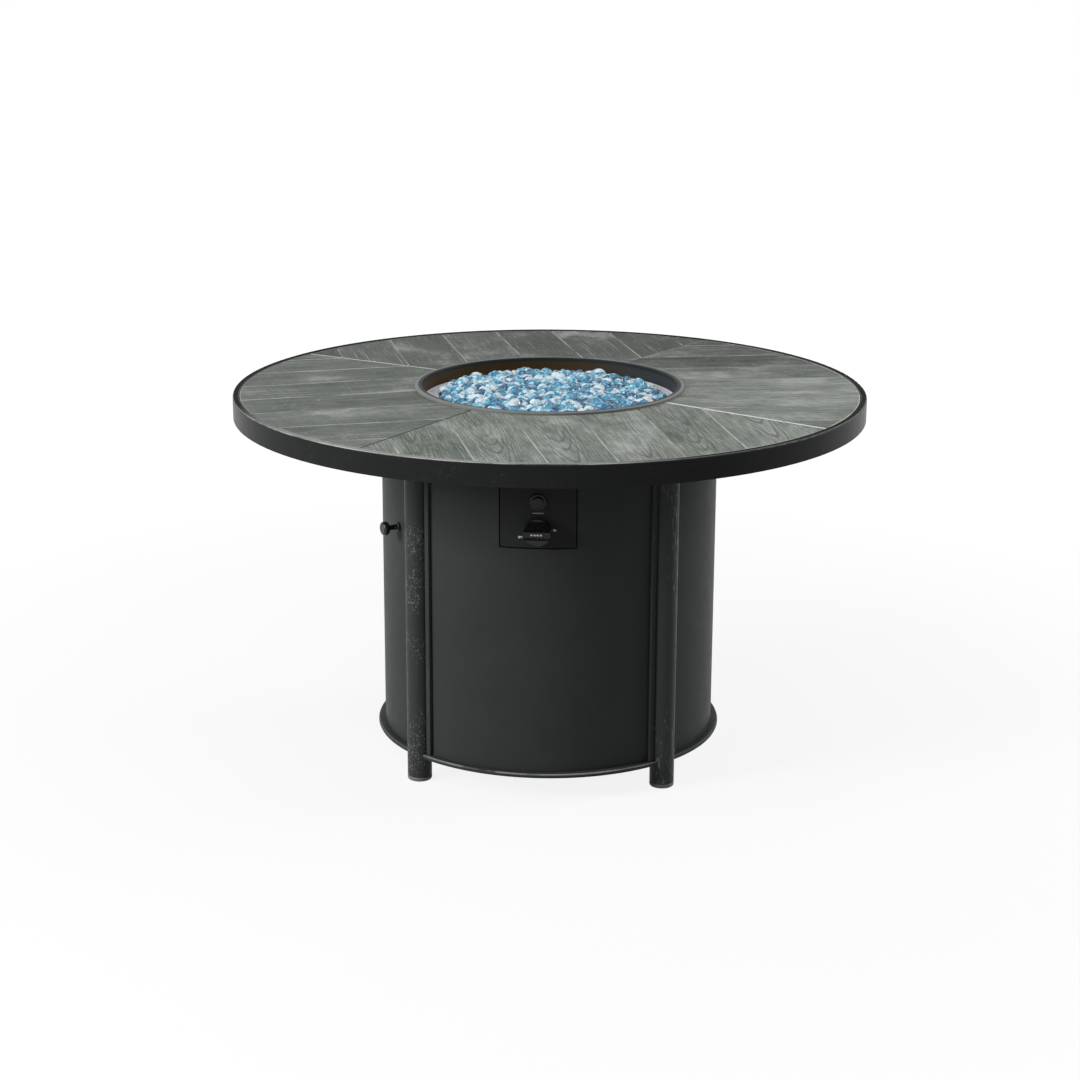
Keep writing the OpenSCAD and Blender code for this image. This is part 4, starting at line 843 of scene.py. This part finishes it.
@dataclass
class FireBowl:
    """Collar, pan and loose glass."""

    glass_r: float = 0.193
    flat_r: float = 0.120
    floor_z: float = 0.6106
    edge_h: float = 0.009
    top_h: float = 0.0200
    bead_r: float = 0.0108
    spacing: float = 0.0190
    row_share: float = 0.866
    drops: tuple[float, ...] = (0.0, 0.35, 0.70)
    shake: float = 0.42
    edge_share: float = 0.6
    edge_span: Span = (-0.008, 0.003)
    lift_span: Span = (-0.002, 0.003)
    size_span: Span = (0.72, 1.15)
    stretch_span: Span = (0.78, 1.16)
    dent_span: Span = (0.93, 1.04)
    sunk: float = 0.62
    sunk_more: float = 0.5
    rest_share: float = 0.72
    rings: int = 5
    sides: int = 9
    bed_sides: int = 72
    bed_rings: int = 14
    bed_share: float = 0.88
    bed_inset: float = 0.010
    # Tint of the under-bed: its darkest blue is painted shade in the gaps between beads.
    bed_shade_tint: float = 0.0
    white_share: float = 0.22
    white_span: Span = (0.86, 1.05)
    blue_shape: tuple[float, float] = (2.0, 2.3)
    seed: int = 11

    def heap(self, r: Array) -> Array:
        """Height of the glass over the pan: level to flat_r, then falling as a cosine to edge_h at glass_r."""
        share = np.clip((r - self.flat_r) / (self.glass_r - self.flat_r), 0.0, 1.0)
        return self.edge_h + (self.top_h - self.edge_h) * (0.5 + 0.5 * np.cos(np.pi * share))

    def chip(self) -> tuple[Array, Array]:
        """Template of a bead: a ball of few faces, a half circle in even steps turned about its axis.

        Returns:
            Points and faces of a ball of radius 1.
        """
        polar = np.pi * np.arange(self.rings + 2) / (self.rings + 1)
        half_circle = np.column_stack([np.sin(polar), np.cos(polar)])
        half_circle[[0, -1], 0] = 0.0
        return revolve(half_circle, self.sides)

    def centres(self, luck: np.random.Generator) -> tuple[Array, Array]:
        """Places of the beads: staggered layers of a triangular grid, shaken, cut to the heap's round edge.

        Args:
            luck: Source of the shake.

        Returns:
            Centres of the beads and their mean radii.
        """
        n = int(self.glass_r / self.spacing) + 3
        i, j = np.meshgrid(np.arange(-n, n + 1), np.arange(-n, n + 1), indexing="ij")
        flat = np.stack([(i + 0.5 * (j % 2)) * self.spacing, j * self.spacing * self.row_share], -1).reshape(-1, 2)
        layers = []
        for drop in self.drops:
            spots = flat + drop * self.spacing + luck.uniform(-self.shake, self.shake, flat.shape) * self.spacing
            r = np.hypot(spots[:, 0], spots[:, 1])
            kept = r < self.glass_r - self.edge_share * self.bead_r + luck.uniform(*self.edge_span, len(r))
            spots, r = spots[kept], r[kept]
            size = self.bead_r * luck.uniform(*self.size_span, len(r))
            under = size * (self.sunk + self.sunk_more * drop)
            z = self.floor_z + np.maximum(self.heap(r) - under, size * self.rest_share)
            z = z + luck.uniform(*self.lift_span, len(r)) * (1.0 - drop)
            layers.append(np.column_stack([spots, z, size]))
        beads = np.vstack(layers)
        return beads[:, :3], beads[:, 3]

    def build(self) -> None:
        """Makes the glass: beads are the template, stretched, dented, turned at random and set at their centres."""
        luck = np.random.default_rng(self.seed)
        points, faces = self.chip()
        centres, sizes = self.centres(luck)
        n, m = len(centres), len(points)
        stretch = luck.uniform(*self.stretch_span, (n, 1, 3))
        dents = luck.uniform(*self.dent_span, (n, m, 1))
        local = points[None] * dents * stretch * sizes[:, None, None]
        placed = np.einsum("nij,nvj->nvi", self._turns(luck, n), local) + centres[:, None, :]
        placed[..., 2] = np.maximum(placed[..., 2], self.floor_z)
        first = (np.arange(n) * m)[:, None, None]
        numbers = np.where(faces[None] < 0, -1, faces[None] + first)
        mesh = fill_mesh("glass_beads", placed.reshape(-1, 3), numbers.reshape(-1, 4), smooth=True)
        beads = mesh_piece(mesh, TumbledGlass("tumbled_glass"), Body.TABLE)
        white = luck.uniform(size=n) < self.white_share
        tint = np.where(white, luck.uniform(*self.white_span, n), luck.beta(*self.blue_shape, n))
        self._store_tint(beads, np.repeat(tint, m))
        self._under_bed()
        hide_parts("fire_glass")

    @staticmethod
    def _turns(luck: np.random.Generator, n: int) -> Array:
        """Random turns as matrices, from normalised random quaternions (w, x, y, z).

        Args:
            luck: Source of the numbers.
            n: How many.

        Returns:
            One 3 by 3 matrix for each.
        """
        q = luck.normal(size=(n, 4))
        w, x, y, z = (q / np.linalg.norm(q, axis=1, keepdims=True)).T
        rows = [
            [1 - 2 * (y * y + z * z), 2 * (x * y - z * w), 2 * (x * z + y * w)],
            [2 * (x * y + z * w), 1 - 2 * (x * x + z * z), 2 * (y * z - x * w)],
            [2 * (x * z - y * w), 2 * (y * z + x * w), 1 - 2 * (x * x + y * y)],
        ]
        return np.moveaxis(np.array(rows), -1, 0)

    @staticmethod
    def _store_tint(piece: bpy.types.Object, tint: Array) -> None:
        """Stores one tint for each vertex."""
        piece.data.attributes.new("tint", "FLOAT", "POINT").data.foreach_set("value", tint.astype(np.float32))

    def _under_bed(self) -> None:
        """Mass of glass under the beads, dark as painted shade in the gaps between them: a share of the heap's height,
        turned about the axis and closed below.
        """
        r = np.linspace(0.0, self.glass_r - self.bed_inset, self.bed_rings)
        top = np.column_stack([r, self.floor_z + self.heap(r) * self.bed_share])
        profile = np.vstack([top, [[r[-1], self.floor_z], [0.0, self.floor_z]]])
        points, faces = revolve(profile, self.bed_sides)
        # Near-black glass: painted shade seen in the gaps between the beads.
        gap_shade = TumbledGlass("gap_shade_glass", clear=0.0, coat=0.0, roughness=0.6)
        bed = mesh_piece(fill_mesh("glass_under_bed", points, faces), gap_shade, Body.TABLE)
        self._store_tint(bed, np.full(len(points), self.bed_shade_tint))

    def dress(self) -> None:
        """Gives the collar its coat and the pan and burner their metal."""
        dress(BowlEnamel("bowl_enamel"), ["bowl_collar"])
        pan = SheetSteel("pan_steel", colour=(0.60, 0.60, 0.63), roughness=0.48, stain=(0.44, 0.42, 0.42), metal=0.25)
        dress(pan, ["burner_pan"])
        burner = SheetSteel("burner_steel", colour=(0.42, 0.41, 0.40), roughness=0.46)
        dress(burner, ["burner_ring", "burner_nut", "air_mixer"])


@dataclass
class Cabinet:
    """Drum panels, base and the cover strips."""

    edge_r: float = 0.2912
    base_top: float = 0.0490

    def dress(self) -> None:
        """Gives the panels a clean coat, the base ring a coat with a painted highlight on its front edge, and the
        strips a rubbed coat a little lighter than the panels' as a painted highlight.
        """
        dress(CharcoalCoat("panel_coat", rub=0.03), ["front_panel", "right_panel", "rear_panel", "door_panel"])
        dress(CharcoalCoat("plate_coat", colour=(0.0195, 0.0215, 0.0200), rub=0.03), ["control_plate"])
        dress(CharcoalCoat("shadow_coat", colour=(0.0015, 0.0016, 0.0015), rub=0.0, gloss=0.02), ["control_frame"])
        # The pale front of the base ring's upper edge is a painted highlight.
        base = EdgeHighlightCoat("base_coat", rub=0.15, edge_r=self.edge_r, top_z=self.base_top, edge_h=0.0026)
        dress(base, ["base_ring"])
        dress(CharcoalCoat("floor_coat", rub=0.12), ["base_plate", "bottle_ring"])
        strips = [f"strips_{end}_{side}" for end in ("front", "rear") for side in ("left", "right")]
        # The strips' colour, a little lighter than the panels', is a painted highlight; their specks are wear.
        dress(CharcoalCoat("strip_coat", colour=(0.034, 0.037, 0.036), rub=0.15, streak=0.3), strips)
        zinc = SheetSteel("zinc_plate", colour=(0.52, 0.53, 0.54), roughness=0.4)
        dress(zinc, ["frame_bolts", "panel_screws", "leg_plugs"])


@dataclass
class Legs:
    """Leg tubes and their foot caps."""

    def dress(self) -> None:
        """Gives the tubes a coat with many rubbed specks and the feet scuffed rubber."""
        for end in ("front", "rear"):
            for side, streak in (("left", 0.55), ("right", 0.12)):
                coat = CharcoalCoat(
                    f"leg_coat_{end}_{side}", rub=0.60, spread=0.51, streak=streak, roughness=0.42, gloss=0.08
                )
                dress(coat, [f"leg_{end}_{side}"])
        dress(FootRubber("foot_rubber"), ["foot_caps"])


@dataclass
class Door:
    """Hinges, catch and pull knob of the access door."""

    def dress(self) -> None:
        """Gives the hinges their coat, the pins steel and the knob and catch plastic."""
        dress(CharcoalCoat("hinge_coat", rub=0.4), ["hinge_frame_leaves", "hinge_door_leaves"])
        dress(SheetSteel("pin_steel", roughness=0.3), ["hinge_pins", "door_knob_screw"])
        dress(MouldedPlastic("pull_black", roughness=0.30, gloss=0.3), ["door_knob"])
        dress(MouldedPlastic("catch_black", roughness=0.5, gloss=0.35), ["door_magnet"])


@dataclass
class Controls:
    """Control knob, igniter, gas parts and the printed marks."""

    drum_r: float = 0.2854
    knob_z: float = 0.4605
    knob_front: float = 0.31265
    label_z: float = 0.4895
    label_w: float = 0.0180
    label_h: float = 0.0016
    label_share: float = 0.72
    label_count: int = 5
    off_spot: tuple[float, float] = (-0.0282, 0.4475)
    on_spot: tuple[float, float] = (0.0268, 0.4600)
    letter_w: float = 0.0014
    letter_step: float = 1.7
    stroke: float = 0.0007
    pip_w: float = 0.0030
    pip_h: float = 0.0024
    pip_pitch: float = 0.0050
    pip_shift: float = -0.0010
    pip_count: int = 4
    proud: float = 0.00015
    sunk: float = 0.0003
    letters: dict[str, tuple[tuple[float, float, float, float], ...]] = field(
        default_factory=lambda: {
            "O": ((0, 0, 1, 0), (1, 0, 1, 2), (1, 2, 0, 2), (0, 2, 0, 0)),
            "F": ((0, 0, 0, 2), (0, 2, 1, 2), (0, 1.1, 0.8, 1.1)),
            "N": ((0, 0, 0, 2), (0, 2, 1, 0), (1, 0, 1, 2)),
        }
    )

    def word(self, text: str, spot: tuple[float, float]) -> Array:
        """Strokes of a short word.

        Args:
            text: Its letters.
            spot: Middle of its foot, along the plate and up.

        Returns:
            Rows of two end points (s, z, s, z).
        """
        size = self.letter_w
        pitch = size * self.letter_step
        start = spot[0] - ((len(text) - 1) * pitch + size) / 2
        rows = [
            np.array(self.letters[letter]) * size + np.tile([start + i * pitch, spot[1]], 2)
            for i, letter in enumerate(text)
        ]
        return np.vstack(rows)

    def bars(self, middle_s: float, z: float, width: float, count: int, share: float) -> Array:
        """A row of level strokes.

        Args:
            middle_s: Middle of the row along the plate.
            z: Height of the row.
            width: Width from the first stroke to the last.
            count: Number of strokes.
            share: Length of a stroke as a share of its step.

        Returns:
            Rows of two end points (s, z, s, z).
        """
        step = width / count
        left = middle_s - width / 2 + step * (np.arange(count) + 0.5 - share / 2)
        level = np.full(count, z)
        return np.column_stack([left, level, left + step * share, level])

    def slabs(self, rows: Array, thick: float, r: Optional[float]) -> tuple[Array, Array]:
        """Thin closed slabs, one along each stroke, proud of the face by a little and sunk into it.

        A slab's corner at (s, z) and depth d lies at (r sin(s/r), -r cos(s/r), z) with r = drum_r + d on the drum,
        or at (s, -(r + d), z) on a flat face.

        Args:
            rows: Two end points (s, z, s, z) for each stroke.
            thick: Width of a stroke.
            r: Distance of a flat face in front of the axis, or None for the drum.

        Returns:
            Points and faces.
        """
        a, b = rows[:, :2], rows[:, 2:]
        along = (b - a) / np.linalg.norm(b - a, axis=1, keepdims=True)
        side = np.stack([-along[:, 1], along[:, 0]], -1) * thick / 2
        over = along * self.stroke / 2
        corners = np.stack([a - over - side, b + over - side, b + over + side, a - over + side], 1)
        both = np.concatenate([corners, corners], 1)
        depth = np.repeat([self.proud, -self.sunk], 4)[None, :]
        s, z = both[..., 0], both[..., 1]
        if r is None:
            away = self.drum_r + depth
            points = np.stack([away * np.sin(s / self.drum_r), -away * np.cos(s / self.drum_r), z], -1)
        else:
            points = np.stack([s, np.broadcast_to(-(r + depth), s.shape), z], -1)
        box = np.array([[0, 1, 2, 3], [7, 6, 5, 4], [0, 4, 5, 1], [1, 5, 6, 2], [2, 6, 7, 3], [3, 7, 4, 0]])
        faces = box[None] + (np.arange(len(rows)) * 8)[:, None, None]
        return points.reshape(-1, 3), faces.reshape(-1, 4)

    def build(self) -> None:
        """Makes the print: a broken line under the igniter, OFF and ON beside the knob and pips on its grip."""
        label = self.bars(0.0, self.label_z, self.label_w, self.label_count, self.label_share)
        words = np.vstack([self.word("OFF", self.off_spot), self.word("ON", self.on_spot)])
        pips_w = self.pip_pitch * self.pip_count
        pip_share = (self.pip_w - self.stroke) / self.pip_pitch
        pips = self.bars(self.pip_shift, self.knob_z, pips_w, self.pip_count, pip_share)
        faint = PrintedInk("label_ink", colour=(0.20, 0.20, 0.20))
        bright = PrintedInk("mark_ink")
        for name, rows, thick, face, ink, body in (
            ("igniter_mark", label, self.label_h, None, faint, Body.TABLE),
            ("valve_marks", words, self.stroke, None, bright, Body.TABLE),
            ("knob_marks", pips, self.pip_h, self.knob_front, bright, Body.KNOB),
        ):
            mesh_piece(fill_mesh(name, *self.slabs(rows, thick, face)), ink, body)

    def dress(self) -> None:
        """Gives the knob and igniter gloss plastic and the gas parts their metals."""
        dress(MouldedPlastic("knob_black", colour=(0.006, 0.006, 0.0065), roughness=0.18, gloss=0.25), ["control_knob"])
        igniter = MouldedPlastic("igniter_black", colour=(0.006, 0.006, 0.006), roughness=0.30, gloss=0.2)
        dress(igniter, ["igniter_body", "igniter_nut", "igniter_button"])
        brass = SheetSteel("gas_brass", colour=(0.60, 0.43, 0.17), roughness=0.34, stain=(0.34, 0.24, 0.10))
        dress(brass, ["gas_orifice", "gas_tube", "gas_valve", "valve_collar", "thermocouple", "thermocouple_lead"])
        steel = SheetSteel("fitting_steel", roughness=0.32)
        dress(steel, ["valve_nut", "valve_spring", "valve_stem", "igniter_spring", "igniter_battery"])
        dress(MouldedPlastic("spark_ceramic", colour=(0.78, 0.76, 0.70), roughness=0.4), ["spark_electrode"])
        dress(MouldedPlastic("lead_rubber", colour=(0.02, 0.02, 0.02), roughness=0.5), ["ignition_lead"])


@dataclass
class Studio:
    """Camera at the photograph's place, pale floor and soft lights."""

    eye: Point = (0.23980, -3.85170, 1.46383)
    right: Point = (0.99773766, 0.06713643, 0.00350087)
    up: Point = (-0.02175727, 0.27319327, 0.96171309)
    lens: float = 77.523
    sensor: float = 36.0
    sight: float = 100.0
    aim: Point = (0.0, 0.0, 0.45)
    floor_z: float = -0.0002
    floor_radii: tuple[float, ...] = (0.0, 0.5, 1.0, 2.0, 4.0, 12.0)
    floor_sides: int = 96
    floor_grey: float = 0.45
    floor_glow: float = 1.05
    near_glow: float = 0.83
    glow_r: Span = (0.7, 2.6)
    sky_light: float = 0.20
    lamps: tuple[tuple[str, Point, float, float], ...] = (
        ("left_lamp", (-3.2, -1.9, 2.0), 1.4, 185.0),
        ("right_lamp", (3.1, 0.9, 1.8), 1.4, 95.0),
        ("top_lamp", (0.0, -0.4, 3.4), 2.2, 30.0),
        ("spark_lamp", (-1.1, -1.4, 3.0), 0.4, 18.0),
    )

    def build(self) -> None:
        """Makes the camera, lights, world and floor."""
        self._camera()
        for name, spot, size, power in self.lamps:
            self._lamp(name, spot, size, power)
        self._world()
        self._floor()
        bpy.context.scene.view_settings.view_transform = "Standard"

    @staticmethod
    def _pose(thing: bpy.types.Object, across: Array, upward: Array, spot: Sequence[float]) -> None:
        """Puts a camera or lamp at a spot.

        Args:
            thing: The camera or lamp.
            across: Direction of its own x.
            upward: Direction of its own y.
            spot: Its place.
        """
        turn = np.eye(4)
        turn[:3, 0], turn[:3, 1], turn[:3, 2], turn[:3, 3] = across, upward, np.cross(across, upward), spot
        thing.matrix_world = Matrix(turn.tolist())
        bpy.context.scene.collection.objects.link(thing)

    def _camera(self) -> None:
        """Sets the camera from its place and its right and up directions."""
        data = bpy.data.cameras.new("photo_camera")
        data.lens = self.lens
        data.sensor_width = self.sensor
        data.clip_end = self.sight
        camera = bpy.data.objects.new("photo_camera", data)
        self._pose(camera, np.array(self.right), np.array(self.up), self.eye)
        bpy.context.scene.camera = camera

    def _lamp(self, name: str, spot: Point, size: float, power: float) -> None:
        """Adds a soft square lamp that faces the table.

        Args:
            name: Name of the lamp.
            spot: Its place.
            size: Length of its side.
            power: Its power in watts.
        """
        data = bpy.data.lights.new(name, "AREA")
        data.size = size
        data.energy = power
        back = np.array(spot) - np.array(self.aim)
        back = back / np.linalg.norm(back)
        across = np.cross([0.0, 0.0, 1.0], back)
        across = across / np.linalg.norm(across)
        self._pose(bpy.data.objects.new(name, data), across, np.cross(back, across), spot)

    @staticmethod
    def _seen(graph: Graph) -> Sock:
        """Tells rays that show the background: from the camera, from gloss and through glass.

        Args:
            graph: The graph to fill.

        Returns:
            1 for such rays and 0 for others.
        """
        rays = graph.node("ShaderNodeLightPath")
        seen = graph.most(graph.out(rays, "Is Camera Ray"), graph.out(rays, "Is Glossy Ray"))
        return graph.most(seen, graph.out(rays, "Is Transmission Ray"))

    def _world(self) -> None:
        """White where it is seen, softer as a light."""
        world = bpy.data.worlds.new("studio")
        world.use_nodes = True
        bpy.context.scene.world = world
        graph = Graph(world.node_tree)
        strength = self.sky_light + self._seen(graph) * (1.0 - self.sky_light)
        sky = graph.node("ShaderNodeBackground", None, {"Color": (1.0, 1.0, 1.0), "Strength": strength})
        graph.node("ShaderNodeOutputWorld", None, {"Surface": graph.out(sky)})

    def _floor(self) -> None:
        """Round pale floor: its glow, for rays that show the background, grows outwards so that the shadow stays."""
        profile = np.array([[r, self.floor_z] for r in self.floor_radii])
        mesh = fill_mesh("floor", *revolve(profile, self.floor_sides))
        material = bpy.data.materials.new("pale_floor")
        material.use_nodes = True
        graph = Graph(material.node_tree)
        x, y, _ = graph.place()
        far = graph.smooth(graph.length(x, y), *self.glow_r)
        matt = graph.node("ShaderNodeBsdfDiffuse", None, {"Color": (self.floor_grey,) * 3})
        glow = graph.node("ShaderNodeEmission", None, {"Color": (1.0, 1.0, 1.0), "Strength": self.floor_glow})
        share = self._seen(graph) * (self.near_glow + far * (1.0 - self.near_glow))
        mixed = graph.node("ShaderNodeMixShader", None, {0: share, 1: graph.out(matt), 2: graph.out(glow)})
        graph.node("ShaderNodeOutputMaterial", None, {"Surface": graph.out(mixed)})
        mesh.materials.append(material)
        floor = bpy.data.objects.new("floor", mesh)
        bpy.context.scene.collection.objects.link(floor)


def main() -> None:
    """Builds and dresses every sub-assembly in order."""
    logging.basicConfig(level=logging.INFO)
    Studio().build()
    bowl, controls = FireBowl(), Controls()
    bowl.build()
    controls.build()
    for part in (TableTop(), bowl, Cabinet(), Legs(), Door(), controls):
        part.dress()


if __name__ == "__main__":
    main()
